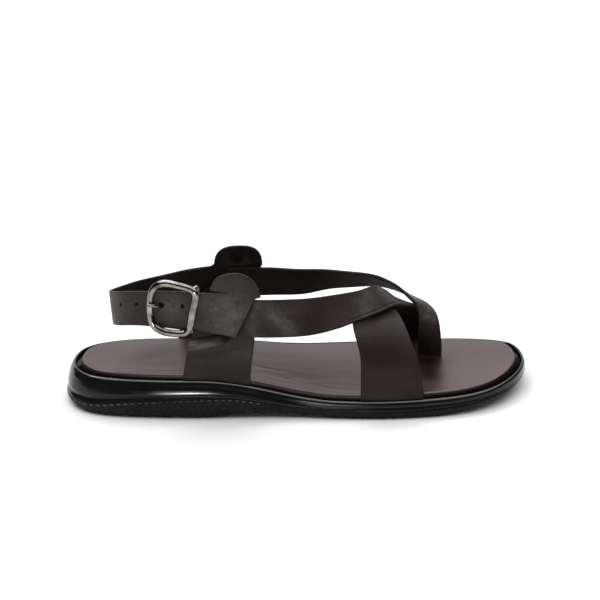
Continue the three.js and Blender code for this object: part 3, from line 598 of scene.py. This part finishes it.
# Sole
def build_midsole():
    top = EDGE_TOP
    line = tread_line(EX)
    profile = []
    for down, out in MIDSOLE_SIDE[::-1]:
        height = (top - LIP_ROUND) * (1 - down) + line * down
        profile.append(ring(BULGE * out, height))
    lip = [
        (BULGE * 0.19 - 0.06, LIP_ROUND * 0.78), (BULGE * 0.09 - 0.15, LIP_ROUND * 0.52),
        (-0.38, LIP_ROUND * 0.27), (-0.85, 0.40), (-1.42, 0.06), (-2.02, 0.14),
        (-LIP_WIDTH, 0.9), (-LIP_WIDTH - 0.2, RECESS_DEPTH),
    ]
    for offset, down in lip:
        profile.append(ring(offset, top - down))
    rings = list(catmull(profile, np.linspace(0, 1, 97)))
    floor = ring(-LIP_WIDTH - GROOVE_WIDTH - 2, from_lip(-RECESS_DEPTH))
    first = profile[0] - OUTWARD * 6
    level = np.concatenate([[0], np.linspace(0, len(profile) - 1, 97), [0]])[:, None]
    streak = bell(EX, -0.245 * LENGTH, 0.055 * LENGTH) * (EY < 0)
    polish = bell(level, len(MIDSOLE_SIDE) + 3.4, 0.9) + bell(level, 6.6, 1.0) * streak
    return ring_mesh("sole_unit", [first, *rings, floor], GLOSS, "midsole", polish.ravel())


def build_outsole():
    line = tread_line(EX) - CLEARANCE
    base = lift(EX)
    profile = []
    for down, drawn in TREAD_SIDE:
        profile.append(ring(BULGE - drawn * TREAD_ROUND, line * (1 - down) + base * down))
    rings = catmull(profile, np.linspace(0, 1, 41))
    rings = [rings[-1] - OUTWARD * 5, *rings[::-1], rings[0] - OUTWARD * 6]
    return ring_mesh("tread", rings, TREAD, "outsole")


DASH_HALF_LENGTH = 1.45
DASH_HALF_HEIGHT = 0.32
DASH_PROUD = 0.34
DASH_SUNK = 0.12
DASH_DROP = 0.75


def build_pips():
    """Row of small moulded dashes along the tread's upper edge."""
    spots = [k for k in range(0, COUNT, 3) if EX[k] < -0.09 * LENGTH]
    turn = np.linspace(0, 2 * math.pi, 8, endpoint=False)
    share = vec(1, 0.8, 0.45)
    proud = np.sqrt(1 - share ** 2)
    points, faces = [], []
    for k in spots:
        centre = EDGE[k] + OUTWARD[k] * (BULGE[k] - DASH_SUNK)
        centre[2] = tread_line(EX[k]) - CLEARANCE - DASH_DROP
        on, first = unit(STEP[k]), len(points)
        for r, h in zip(share, proud):
            for a in turn:
                points.append(centre + on * DASH_HALF_LENGTH * r * math.cos(a)
                              + OUTWARD[k] * DASH_PROUD * h
                              + vec(0, 0, DASH_HALF_HEIGHT * r * math.sin(a)))
        points.append(centre + OUTWARD[k] * DASH_PROUD)
        faces += [[first + i for i in f] for f in strip_faces(3, 8, wrap=True)]
        faces += [[first + 16 + i, first + 16 + (i + 1) % 8, first + 24] for i in range(8)]
        faces.append([first + i for i in range(8)][::-1])
    # The dashes take the rubber with the painted glint.
    make("tread_pips", points, faces, PAINTED_GLINT_RUBBER, "outsole")


# Soft dents of the footbed: along, across, half length, half width, turn in degrees, depth
DENTS = [
    (0.575, -0.33, 0.050, 0.030, -14, 0.50), (0.600, -0.29, 0.048, 0.016, -16, 0.45),
    (0.588, -0.36, 0.034, 0.013, -24, 0.45), (0.625, -0.35, 0.020, 0.012, 30, 0.35),
    (0.500, -0.20, 0.070, 0.050, 4, 0.25), (0.437, -0.13, 0.034, 0.019, -4, 0.32),
    (0.468, -0.24, 0.028, 0.017, -12, 0.28), (0.180, 0.02, 0.090, 0.160, 0, 0.35),
    (0.760, -0.12, 0.080, 0.180, 0, 0.30),
]


def pad_relief(x, y):
    """Dents of the footbed, and the narrow pinch round the toe strap's foot."""
    z = np.zeros_like(x)
    for a, c, long, wide, turn, depth in DENTS:
        dx, dy = x - (a - 0.5) * LENGTH, y - c * BALL_WIDTH
        z -= depth * patch(dx, dy, long * LENGTH, wide * BALL_WIDTH, turn)
    p, q = (place(*TOE_STRAP[-1][k:k + 2], 0)[:2] for k in (0, 3))
    way = q - p
    t = np.clip(((x - p[0]) * way[0] + (y - p[1]) * way[1]) / (way @ way), 0, 1)
    far = np.hypot(x - p[0] - t * way[0], y - p[1] - t * way[1])
    return z - 0.5 * np.exp(-np.maximum(far - 1, 0) ** 2 / 1.2)


def build_insole():
    start = -(LIP_WIDTH + GROOVE_WIDTH)
    levels = [
        (0.9, -RECESS_DEPTH + 0.1), (0.1, -RECESS_DEPTH + 0.9), (0.0, INSOLE_RISE - INSOLE_ROLL),
        (INSOLE_ROLL * 0.13, INSOLE_RISE - INSOLE_ROLL * 0.5),
        (INSOLE_ROLL * 0.5, INSOLE_RISE - INSOLE_ROLL * 0.13), (INSOLE_ROLL, INSOLE_RISE),
        (INSOLE_ROLL * 1.8, INSOLE_RISE + 0.02),
    ]
    profile = [ring(start - inset, from_lip(height)) for inset, height in levels]
    rings = list(catmull(profile, np.linspace(0, 1, 37)))
    points = list(np.concatenate(rings))
    faces = strip_faces(len(rings), COUNT, wrap=True)
    faces += across_faces(0, True)
    top = (len(rings) - 1) * COUNT
    rungs = 56

    def row(k):
        if k in (0, SIDE_STEPS):
            return [top + k]
        a, b = points[top + k], points[top + (COUNT - k) % COUNT]
        t = (np.arange(1, rungs + 1) / (rungs + 1))[:, None]
        line = a + (b - a) * t
        ends = min(1, min(k, SIDE_STEPS - k) / 27)
        s = t[:, 0]
        line[:, 2] -= INSOLE_DISH * np.sin(np.pi * s) ** 0.7 * ends
        line[:, 2] += pad_relief(line[:, 0], line[:, 1]) * np.clip(np.minimum(s, 1 - s) * 9, 0, 1)
        first = len(points)
        points.extend(line)
        return [top + k, *range(first, first + rungs), top + (COUNT - k) % COUNT]

    before = row(0)
    for k in range(1, SIDE_STEPS + 1):
        after = row(k)
        if len(before) == 1:
            faces += [[before[0], after[n + 1], after[n]][::-1] for n in range(len(after) - 1)]
        elif len(after) == 1:
            faces += [[before[n], after[0], before[n + 1]] for n in range(len(before) - 1)]
        else:
            faces += [[before[n], after[n], after[n + 1], before[n + 1]] for n in range(len(after) - 1)]
        before = after
    # The rim ramp darkens the footbed's edge colour over the roll and side wall. Where it passes its
    # middle, it carries a painted highlight.
    rim = np.zeros(len(points))
    rim[:len(rings) * COUNT] = np.repeat(ease((0.76 - np.linspace(0, 1, len(rings))) / 0.15), COUNT)
    pad = make("footbed_pad", points, faces, FOOTBED, "insole", rim)


# Straps
def seat(share, side, height):
    """Point of a strap's foot, beside the lip and so far over it."""
    x = (share - 0.5) * LENGTH
    inset = LIP_WIDTH + CLEARANCE + 0.25 + STRAP_THICKNESS / 2
    edge = float(sides_at(x)[1 if side > 0 else 0])
    return vec(x, edge - side * inset, float(lip_top(x, edge)) + height)


def strap_grid(rows, foot, side, ts, steps, shift=None):
    """Middle surface of a strap: [column, step] points, splined lengthwise."""
    grid = []
    for t in ts:
        line = []
        for k, row in enumerate(rows):
            p = place(*row[:3]) * (1 - t) + place(*row[3:]) * t
            if shift and k < len(shift):
                p = p + vec(*shift[k])
            line.append(p)
        if foot:
            share = foot[0] * (1 - t) + foot[1] * t
            line += [seat(share, side, 0.6), seat(share, side, -RECESS_DEPTH + CLEARANCE)]
        grid.append(catmull(line, np.linspace(0, 1, steps)))
    return np.array(grid)


def grid_normals(grid):
    over = np.gradient(grid, axis=0)
    on = np.gradient(grid, axis=1)
    return unit(np.cross(over, on))


def section(width, inner):
    """Crosswise shares and half thicknesses of a strap with rounded edges."""
    half, radius = STRAP_THICKNESS / 2, EDGE_ROUND
    a = np.linspace(0, math.pi / 2, 6)
    inset = radius * (1 - np.cos(a))
    rise = half - radius + radius * np.sin(a)
    t = np.concatenate([inset / width, np.linspace(radius / width, 1 - radius / width, inner)[1:-1],
                        1 - inset[::-1] / width])
    h = np.concatenate([rise, np.full(inner - 2, half), rise[::-1]])
    return t, h


def sheet(name, grid, ts, heights, material, relief, seam):
    """Closed strap from its middle grid, thick at each column by heights."""
    normal = grid_normals(grid)
    columns, steps = grid.shape[:2]
    run = run_of(grid[columns // 2])
    thin = np.ones(steps)
    for d in (run, run[-1] - run):
        thin = np.minimum(thin, np.sqrt(1 - (1 - np.clip(d / 0.7, 0, 1)) ** 2) * 0.7 + 0.3)
    away = grid * vec(0, 1, 1) - vec(0, 0, 30)
    outer = np.sum(normal * away) > 0
    mid = grid
    if relief is not None:
        mid = grid + normal * (relief(grid, ts) * (1 if outer else -1))[..., None]
    h = np.asarray(heights)[:, None] * thin[None, :]
    top = mid + normal * h[..., None]
    back = mid - normal * h[..., None]
    points = np.concatenate([top.reshape(-1, 3), back.reshape(-1, 3)])
    faces = strip_faces(columns, steps)
    count = len(faces)
    off = columns * steps
    faces += [[off + i for i in f[::-1]] for f in faces]
    lined = np.arange(count) + (count if outer else 0)
    for k in range(steps - 1):
        faces.append([k + 1, k, off + k, off + k + 1])
        last = (columns - 1) * steps
        faces.append([last + k, last + k + 1, off + last + k + 1, off + last + k])
    for c in range(columns - 1):
        a, b = c * steps, (c + 1) * steps
        faces.append([a, b, off + b, off + a])
        a, b = a + steps - 1, b + steps - 1
        faces.append([b, a, off + a, off + b])
    rim = np.clip((1 - np.asarray(heights) / (STRAP_THICKNESS / 2)) * 1.9, 0, 1)
    rim = np.repeat(rim, steps)
    if seam is not None:
        rim = np.maximum(rim, seam(grid, ts).ravel())
    return make(name, points, faces, material, "upper", np.concatenate([rim, rim]), lined)


# Creases laid over the straps, as heights over their outer faces
def waves(x, z, start, end, turn, pitch, depth):
    t = math.radians(turn)
    along = x * math.cos(t) + z * math.sin(t)
    fade = ease((x - start) / 12) * ease((end - x) / 12)
    return depth * fade * np.sin(2 * math.pi * along / pitch)


def instep_relief(grid, ts):
    x, z = grid[..., 0], grid[..., 2]
    out = waves(x, z, -38, 12, -32, 17, 0.18) + waves(x, z, -30, 30, -50, 29, 0.18)
    welt = (1 - ts[:, None]) * 24
    return out - seam_span(x) * 0.30 * bell(welt, 2.6, 0.6)


def seam_span(x):
    return ease((x - 28) / 5) * ease((64 - x) / 5)


def instep_seam(grid, ts):
    """Dark line and stitch marks where the strap is sewn over the ball strap."""
    x, welt = grid[..., 0], (1 - ts[:, None]) * 24
    dashes = ease(0.5 + 1.6 * np.sin(2 * math.pi * x / 2.6))
    return seam_span(x) * (bell(welt, 0.6, 0.7) + 0.9 * bell(welt, 2.6, 0.55) * dashes)


def stay_relief(grid, ts):
    x, z = grid[..., 0], grid[..., 2]
    line = 42 + (x + 67) * 0.19
    fade = ease((-40 - x) / 14)
    fold = 1.5 * bell(z, line, 2.0) - 2.8 * bell(z, line + 5.4, 3.0)
    return fade * fold + waves(x, z, -75, -20, 80, 21, 0.12)


def ball_relief(grid, ts):
    x, z = grid[..., 0], grid[..., 2]
    return waves(x, z, 18, 90, 75, 19, 0.12) - 0.25 * bell(z, 25 + (x - 45) * 0.1, 2.2)


def toe_relief(grid, ts):
    x, z = grid[..., 0], grid[..., 2]
    return waves(x, z, -20, 60, 20, 31, 0.2)


def strap(name, rows, foot, side, width, steps, material, shift=None, relief=None, inner=14,
          seam=None):
    ts, heights = section(width, inner)
    grid = strap_grid(rows, foot, side, ts, steps, shift)
    return sheet(name, grid, ts, heights, material, relief, seam)


def toe_rows():
    rows = [list(row) for row in TOE_STRAP]
    for k in (0, 3):
        p = place(rows[-1][k], rows[-1][k + 1], 0)
        rows[-1][k + 2] = (float(lip_top(p[0], p[1])) - RECESS_DEPTH + 1) / INSTEP_HEIGHT
    return rows


def build_straps():
    tuck = [(0, 1.2, 0), (0, 1.1, 0), (0, 0.8, 0), (0, 0.3, 0)]
    inward = [(0, 2.6, 0), (0, 2.5, 0), (0, 2.0, 0), (0, 0.4, 0)]
    strap("instep_strap", INSTEP_STRAP, INSTEP_FOOT, 1, 24, 240, MIXED, tuck, instep_relief, 46,
          instep_seam)
    under = [(0, 1.2, -2.0), (0, 1.0, -1.6), (0, 0.5, -0.7)]
    strap("ball_strap", BALL_STRAP, BALL_FOOT, -1, 34, 150, WARM, under, ball_relief, 30)
    strap("toe_strap", toe_rows(), None, 0, 21, 260, LEATHER, None, toe_relief, 24)
    strap("lateral_stay", LATERAL_STAY, LATERAL_STAY_FOOT, -1, 36, 130, MIXED, inward, stay_relief, 36)
    strap("medial_stay", MEDIAL_STAY, MEDIAL_STAY_FOOT, 1, 34, 110, WARM)


# Cut panels: an outline with holes in flat millimetres, laid on a surface
def loop_points(points, step):
    p = np.asarray(points, float)
    out = []
    for a, b in zip(p, np.roll(p, -1, axis=0)):
        n = max(1, int(round(np.linalg.norm(b - a) / step)))
        out += [a + (b - a) * k / n for k in range(n)]
    return np.array(out)


def inside(points, loop):
    x, y = points[:, 0:1], points[:, 1:2]
    a, b = loop, np.roll(loop, -1, axis=0)
    over = (a[:, 1] > y) != (b[:, 1] > y)
    rise = np.where(b[:, 1] == a[:, 1], 1e-12, b[:, 1] - a[:, 1])
    cross = (b[:, 0] - a[:, 0]) * (y - a[:, 1]) / rise + a[:, 0]
    return (over & (x < cross)).sum(axis=1) % 2 == 1


def far_from(points, loop):
    a, b = loop, np.roll(loop, -1, axis=0)
    ab = b - a
    best = np.full(len(points), 1e9)
    for p, d in zip(a, ab):
        t = np.clip(((points - p) @ d) / max(d @ d, 1e-12), 0, 1)
        best = np.minimum(best, np.linalg.norm(points - p - t[:, None] * d, axis=1))
    return best


def cut_panel(name, outline, holes, surface, material, node, step=1.3):
    """Sheet with rounded edges from a flat outline and its holes, laid on a surface."""
    radius = EDGE_ROUND
    loops = [loop_points(outline, 0.7)] + [loop_points(h, 0.3) for h in holes]
    low, high = loops[0].min(axis=0), loops[0].max(axis=0)
    gx, gy = np.meshgrid(np.arange(low[0], high[0], step), np.arange(low[1], high[1], step))
    inner = [np.stack([gx.ravel(), gy.ravel()], axis=1)]
    for k, loop in enumerate(loops):
        way = unit(around(loop))
        side = np.stack([way[:, 1], -way[:, 0]], axis=1)
        for d in (0.10, 0.28, 0.48, 0.70):
            for sign in (1, -1):
                inner.append(loop + side * d * radius * sign / 0.7)
    pool = np.concatenate(inner)
    keep = inside(pool, loops[0])
    far = far_from(pool, loops[0])
    for hole in loops[1:]:
        keep &= ~inside(pool, hole)
        far = np.minimum(far, far_from(pool, hole))
    keep &= far > 0.08 * radius
    pool, far = pool[keep], far[keep]
    _, first = np.unique(np.round(pool / 0.16), axis=0, return_index=True)
    pool, far = pool[first], far[first]
    cloud = np.concatenate([*loops, pool])
    distance = np.concatenate([np.zeros(sum(len(q) for q in loops)), far])
    edges, start = [], 0
    for loop in loops:
        n = len(loop)
        edges += [(start + i, start + (i + 1) % n) for i in range(n)]
        start += n
    result = delaunay_2d_cdt([Vector(p) for p in cloud], edges, [], 0, 1e-5)
    spots = np.array([tuple(v) for v in result[0]])
    source = [ids[0] if ids else -1 for ids in result[3]]
    distance = np.array([distance[i] if i >= 0 else 0.0 for i in source])
    faces = np.array([f for f in result[2] if len(f) == 3])
    centre = spots[faces].mean(axis=1)
    keep = whole = inside(centre, loops[0])
    for hole in loops[1:]:
        keep = keep & ~inside(centre, hole)
    shade_plugs, faces = faces[whole & ~keep], faces[keep]
    p, n = surface(spots)
    half = STRAP_THICKNESS / 2
    h = half - radius + radius * np.sqrt(1 - (1 - np.clip(distance / radius, 0, 1)) ** 2)
    count = len(spots)
    points = np.concatenate([p + n * h[:, None], p - n * h[:, None]])
    polys = slab(faces, 0, count)
    rim = np.clip((1 - h / half) * 1.9, 0, 1)
    rim = np.concatenate([rim, rim])
    # Each hole is shut at the strap's middle by a thin sheet of the lining in the dark edge colour:
    # painted shade in the hole.
    closed = []
    if len(shade_plugs):
        used, where = np.unique(shade_plugs, return_inverse=True)
        closed = slab(where.reshape(-1, 3), len(points), len(used))
        deep = n[used] * SHADE_PLUG_HALF
        points = np.concatenate([points, p[used] + deep, p[used] - deep])
        rim = np.concatenate([rim, np.ones(2 * len(used))])
    outer = np.sum(n * (p - centre_of(p, node))) > 0
    lined = np.arange(len(faces)) + (len(faces) if outer else 0)
    lined = np.concatenate([lined, len(polys) + np.arange(len(closed))])
    return make(name, points, polys + closed, material, node, rim, lined.astype(int))


def slab(faces, first, count):
    """Faces of a closed sheet whose far side's points follow those of its near side."""
    sides = {}
    for f in faces:
        for i in range(3):
            sides[(int(f[i]), int(f[(i + 1) % 3]))] = True
    near = [[first + int(i) for i in f] for f in faces]
    far = [[i + count for i in f[::-1]] for f in near]
    walls = [[first + i for i in (b, a, a + count, b + count)]
             for a, b in sides if (b, a) not in sides]
    return near + far + walls


def centre_of(p, node):
    """Where the ankle is, seen from a panel."""
    return vec(-0.22 * LENGTH, 0, 0) + p * vec(0 if node == "heel_strap" else 1, 0, 1)


def arc(centre, radius, start, end, steps, power=2.0, both=False):
    points = []
    for k in range(steps + 1):
        angle = math.radians(start + (end - start) * k / steps)
        c, s = math.cos(angle), math.sin(angle)
        far = (abs(c) ** power + abs(s) ** power) ** (-1 / power) if both or c < 0 else 1
        points.append((centre[0] + radius * far * c, centre[1] + radius * far * s))
    return points


def flat(pair):
    return ((pair[0] - 0.5) * LENGTH, pair[1] * INSTEP_HEIGHT)


def panel_surface(rear, front, relief):
    """Surface over the x-z plane, bent between two lines that are given low end first."""
    def line(pair, z):
        low, high = pair
        return low[1] + (high[1] - low[1]) * (z - low[2]) / (high[2] - low[2])

    start = (rear[0][0] + rear[1][0]) / 2
    end = (front[0][0] + front[1][0]) / 2

    def across(x, z):
        t = np.clip((x - start) / (end - start), 0, 1)
        return line(rear, z) * (1 - t) + line(front, z) * t + relief(x, z)

    def surface(spots):
        x, z = spots[:, 0], spots[:, 1]
        y = across(x, z)
        d = 0.5
        slope_x = (across(x + d, z) - across(x - d, z)) / (2 * d)
        slope_z = (across(x, z + d) - across(x, z - d)) / (2 * d)
        n = unit(np.stack([slope_x, -np.ones_like(x), slope_z], axis=1))
        return np.stack([x, y, z], axis=1), n

    return surface


# Buckle's own plane
def buckle_plane():
    last, first = HEEL_STRAP[-2], HEEL_STRAP[-4]
    upper, lower = place(*last[:3]), place(*last[3:])
    on = upper + lower - place(*first[:3]) - place(*first[3:])
    on[2] = 0
    on = unit(on)
    rise = unit(upper - lower)
    out = unit(np.cross(on, rise))
    centre = place(*BUCKLE_PLACE)

    def at(pair, level):
        return centre + on * pair[0] * BUCKLE_WIDTH + rise * pair[1] * BUCKLE_WIDTH + out * level

    return at, out


on_buckle, BUCKLE_OUT = buckle_plane()
FRAME_LEVEL = CLEARANCE * 1.5 + FRAME_RADIUS


def hinge_ends(extra=0.0):
    top, bottom = on_buckle(HINGE_TOP, HINGE_LEVEL), on_buckle(HINGE_BOTTOM, HINGE_LEVEL)
    way = unit(bottom - top)
    return top - way * extra, bottom + way * extra


def tube(name, path, radii, material, node, sides=28, closed=False, squash=1.0):
    """Round tube along a path, its ends domed, with one radius for each point."""
    p = np.asarray(path, float)
    r = np.asarray(radii, float)
    way = unit(around(p) if closed else np.gradient(p, axis=0))
    side = np.broadcast_to(BUCKLE_OUT, p.shape)
    other = unit(np.cross(way, side))
    side = unit(np.cross(other, way))
    angle = np.linspace(0, 2 * math.pi, sides, endpoint=False)
    rings = (p[:, None] + other[:, None] * (np.cos(angle)[None, :, None] * r[:, None, None])
             + side[:, None] * (np.sin(angle)[None, :, None] * r[:, None, None] * squash))
    points = rings.reshape(-1, 3)
    faces = strip_faces(len(p), sides, wrap=True)
    if closed:
        last = (len(p) - 1) * sides
        faces += [[last + c, last + (c + 1) % sides, (c + 1) % sides, c] for c in range(sides)]
    else:
        faces.append(list(range(sides))[::-1])
        faces.append([(len(p) - 1) * sides + c for c in range(sides)])
    return make(name, points, faces, material, node)


def domed(a, b, radius, count=24, dome=0.8):
    """Path and radii of a straight rod with domed ends."""
    long = np.linalg.norm(b - a)
    s = np.concatenate([np.linspace(0, dome, 8), np.linspace(dome, long - dome, count)[1:-1],
                        np.linspace(long - dome, long, 8)])
    near = np.clip(np.minimum(s, long - s) / dome, 0, 1)
    r = radius * np.maximum(np.sqrt(1 - (1 - near) ** 2), 0.08)
    return a + (b - a) * (s / long)[:, None], r


def build_carrier():
    centre = flat(LATERAL_DISC)
    top, bottom = hinge_ends(-FOLD_INSET)
    notch = flat(CARRIER_NOTCH)
    mouth = centre[0] - EAR_RADIUS * 0.98
    outline = [
        (bottom[0], bottom[2]), *map(flat, CARRIER_LOWER),
        *arc(centre, EAR_RADIUS, 4, 162, 60, LOBE_SQUARENESS),
        (mouth + 2.4, notch[1] + 0.6), notch, (mouth + 2.4, notch[1] - 0.5),
        (top[0], top[2]),
    ]
    front = [place(*p) for p in LATERAL_FRONT]

    def relief(x, z):
        out = 0.75 * bell(np.hypot(x - notch[0] - 3.2, (z - notch[1]) * 1.2), 0, 2.1) + 0.7
        out = out - 0.5 * bell(np.hypot(x - centre[0] - 1.5, z - centre[1] + 1.5), 0, 4.5)
        return -out - waves(x, z, -66, -30, -38, 19, 0.22)

    surface = panel_surface([bottom, top], front, relief)
    cut_panel("buckle_carrier", outline, [], surface, LEATHER, "upper")
    middle = (top + bottom) / 2
    way = unit(bottom - top)
    radius = BAR_RADIUS + CLEARANCE + FOLD_WALL
    for name, a, b in (
        ("carrier_fold_top", top, middle - way * PRONG_GAP / 2),
        ("carrier_fold_bottom", middle + way * PRONG_GAP / 2, bottom),
    ):
        path, radii = domed(a, b, radius, dome=0.6)
        tube(name, path, np.maximum(radii, radius * 0.7), LEATHER, "upper")


def build_medial_ear():
    centre = flat(MEDIAL_DISC)
    outline = [*map(flat, MEDIAL_LOWER), *arc(centre, EAR_RADIUS, 4, 172, 60, LOBE_SQUARENESS, True),
               flat(MEDIAL_UPPER)]
    rear = [place(*p) for p in MEDIAL_REAR]
    front = [place(*p) for p in MEDIAL_FRONT]

    def relief(x, z):
        return 0.9 * bell(np.hypot((x - centre[0] + 1.2) * 0.8, z - centre[1] - 4.6), 0, 3.2)

    surface = panel_surface(rear, front, relief)
    cut_panel("medial_ear", outline, [], surface, LEATHER, "heel_strap")


def build_heel_strap():
    steps = 700
    grid = strap_grid(HEEL_STRAP, None, 0, np.linspace(0, 1, 9), steps)
    middle = grid[4]
    run = run_of(middle)
    long, wide = run[-1], BUCKLE_WIDTH
    normal = grid_normals(grid)

    def surface(spots):
        k = np.interp(spots[:, 0], run, np.arange(steps))
        c = np.clip(spots[:, 1] / wide + 0.5, 0, 1) * 8
        k0, c0 = np.minimum(k.astype(int), steps - 2), np.minimum(c.astype(int), 7)
        on, over = (k - k0)[:, None], (c - c0)[:, None]

        def pick(g):
            return ((g[c0, k0] * (1 - on) + g[c0, k0 + 1] * on) * (1 - over)
                    + (g[c0 + 1, k0] * (1 - on) + g[c0 + 1, k0 + 1] * on) * over)

        return pick(grid), unit(pick(normal))

    def spot(pair):
        """Place on the flat strap under a point of the buckle's plane."""
        p = on_buckle(pair, 0)
        d = grid - p
        away = np.linalg.norm(d - (d @ BUCKLE_OUT)[..., None] * BUCKLE_OUT, axis=-1)
        away = away + np.where((d @ BUCKLE_OUT) > -16, 0, 99)
        away[:, run < long * 0.55] = 99
        c, k = np.unravel_index(np.argmin(away), away.shape)
        return vec(run[k], (c / 8 - 0.5) * wide)

    def slot(pair, radius, half):
        """Round hole, drawn out along the strap by half a length each way."""
        c = spot(pair)
        turns = np.linspace(0, 2 * math.pi, 22, endpoint=False)
        return [(c[0] + radius * math.cos(a) + half * np.sign(math.cos(a)),
                 c[1] + radius * math.sin(a)) for a in turns]

    holes = [slot(hole, HOLE_RADIUS, 0) for hole in HOLES]
    holes.append(slot((PRONG_HOLE, 0), PRONG_RADIUS + 0.3, 0.5))
    outline = [(0, -wide / 2), (long, -wide / 2), (long, wide / 2), (0, wide / 2)]
    cut_panel("heel_band", outline, holes, surface, LEATHER, "heel_strap", step=1.5)


def build_buckle():
    loop = [on_buckle(p, FRAME_LEVEL) for p in FRAME_LOOP]
    ts = np.linspace(0, 1, 240, endpoint=False)
    path = catmull(loop, ts, closed=True)
    stout = catmull([vec(k) for k in FRAME_STOUT], ts, closed=True)[:, 0] * FRAME_RADIUS
    tube("frame_loop", path, stout, NICKEL, "buckle_frame", sides=36, closed=True, squash=0.84)
    top, bottom = hinge_ends(BAR_RADIUS)
    path, radii = domed(top, bottom, BAR_RADIUS)
    tube("hinge_bar", path, radii, NICKEL, "buckle_frame")
    for name, a, b in (("lug_top", top, on_buckle(FRAME_LOOP[5], FRAME_LEVEL)),
                       ("lug_bottom", bottom, on_buckle(FRAME_LOOP[9], FRAME_LEVEL))):
        path, radii = domed(a, b, BAR_RADIUS * 1.25, dome=1.2)
        tube(name, path, radii, NICKEL, "buckle_frame")
    under = -(STRAP_THICKNESS + CLEARANCE + PRONG_RADIUS + 0.4)
    over = FRAME_LEVEL + FRAME_RADIUS + CLEARANCE + PRONG_RADIUS
    eye = BAR_RADIUS + CLEARANCE + EYE_RADIUS
    top, bottom = hinge_ends()
    centre = (top + bottom) / 2
    way = unit(bottom - top)
    below = unit(on_buckle((-0.5, 0), -BUCKLE_WIDTH / 2) - on_buckle((0, 0), 0))
    points = [
        centre + below * (eye + PRONG_RADIUS - EYE_RADIUS), on_buckle((0.46, -0.04), under),
        on_buckle((0.32, -0.03), under), on_buckle((0, 0), under), on_buckle((-0.22, 0), under),
        on_buckle((-0.32, 0), -1.6), on_buckle((-0.37, 0), 0.6), on_buckle((-0.45, 0.04), 3.2),
        on_buckle((-0.57, 0.08), over + 0.2), on_buckle((-0.72, 0.09), over + 0.35),
    ]
    path = catmull(points, np.linspace(0, 1, 160))
    run = run_of(path)
    rest = run[-1] - run
    stout = PRONG_RADIUS * (1 + 0.45 * ease((run - run[-1] * 0.6) / 3))
    radii = stout * np.maximum(np.sqrt(1 - (1 - np.clip(rest / 0.9, 0, 1)) ** 2), 0.1)
    tube("prong", path, radii, NICKEL, "buckle_prong", sides=20)
    angle = np.linspace(0, 2 * math.pi, 48, endpoint=False)
    u = unit(np.cross(way, BUCKLE_OUT))
    v = unit(np.cross(way, u))
    circle = centre + (np.cos(angle)[:, None] * u + np.sin(angle)[:, None] * v) * eye
    spin = unit(circle - centre)
    turn = np.linspace(0, 2 * math.pi, 14, endpoint=False)
    rings = (circle[:, None] + spin[:, None] * (np.cos(turn)[None, :, None] * EYE_RADIUS)
             + way[None, None, :] * (np.sin(turn)[None, :, None] * EYE_RADIUS))
    faces = strip_faces(49, 14, wrap=True)
    faces = [[i % (48 * 14) for i in f] for f in faces]
    make("prong_eye", rings.reshape(-1, 3), faces, NICKEL, "buckle_prong")


# Studio: pale floor, white surround, soft lights
def build_studio():
    world = bpy.data.worlds.new("studio")
    bpy.context.scene.world = world
    world.use_nodes = True
    back = world.node_tree.nodes["Background"]
    back.inputs["Color"].default_value = (1, 1, 1, 1)
    back.inputs["Strength"].default_value = 0.05
    mesh = bpy.data.meshes.new("floor")
    mesh.from_pydata([(-4, -4, 0), (4, -4, 0), (4, 4, 0), (-4, 4, 0)], [], [[0, 1, 2, 3]])
    floor = add_object("floor", mesh)
    n = Nodes("floor_white")
    n.set(Base_Color=(0.93, 0.93, 0.93, 1), Roughness=0.85)
    mesh.materials.append(n.material)
    for name, spot, aim, size, power in (
        ("ceiling", (0, 0.5, 2.0), (0, 0.5, 0), (4.0, 4.0), 92),
        ("backdrop", (0, 1.75, 0.75), (0, 0, 0.3), (3.2, 1.4), 11),
        ("rim", (-0.45, 0.65, 1.5), (-0.05, 0, 0.04), (2.2, 0.10), 9),
        ("front", (-0.25, -1.15, 0.13), (-0.06, 0, 0.05), (0.24, 0.10), 2.1),
    ):
        lamp = bpy.data.lights.new(name, "AREA")
        lamp.shape = "RECTANGLE"
        lamp.size, lamp.size_y = size
        lamp.energy = power
        obj = add_object(name, lamp)
        obj.location = spot
        obj.rotation_euler = (Vector(aim) - Vector(spot)).to_track_quat("-Z", "Y").to_euler()
    bpy.context.scene.view_settings.view_transform = "Standard"


# Camera: its focal length and the photograph's width in pixels, angles in degrees, metres
FOCAL_PIXELS = 1965.963
PHOTO_PIXELS = 600
CAMERA_TURN = -4.5
CAMERA_RISE = 21
CAMERA_DISTANCE = 1.2
CAMERA_AIM = (1.425, 0, 58.552)


def build_camera():
    camera = bpy.data.cameras.new("camera")
    camera.sensor_width = 36
    camera.lens = camera.sensor_width * FOCAL_PIXELS / PHOTO_PIXELS
    camera.clip_start = 0.05
    camera.clip_end = 30
    obj = add_object("camera", camera)
    bpy.context.scene.camera = obj
    turn, rise = math.radians(CAMERA_TURN), math.radians(CAMERA_RISE)
    back = Vector((math.sin(turn) * math.cos(rise), -math.cos(turn) * math.cos(rise), math.sin(rise)))
    target = Vector(((vec(*CAMERA_AIM) - MIDDLE) / 1000).tolist())
    obj.location = target + back * CAMERA_DISTANCE
    obj.rotation_euler = (-back).to_track_quat("-Z", "Y").to_euler()


build_camera()
build_studio()
build_outsole()
build_pips()
build_midsole()
build_insole()
build_straps()
build_carrier()
build_medial_ear()
build_heel_strap()
build_buckle()
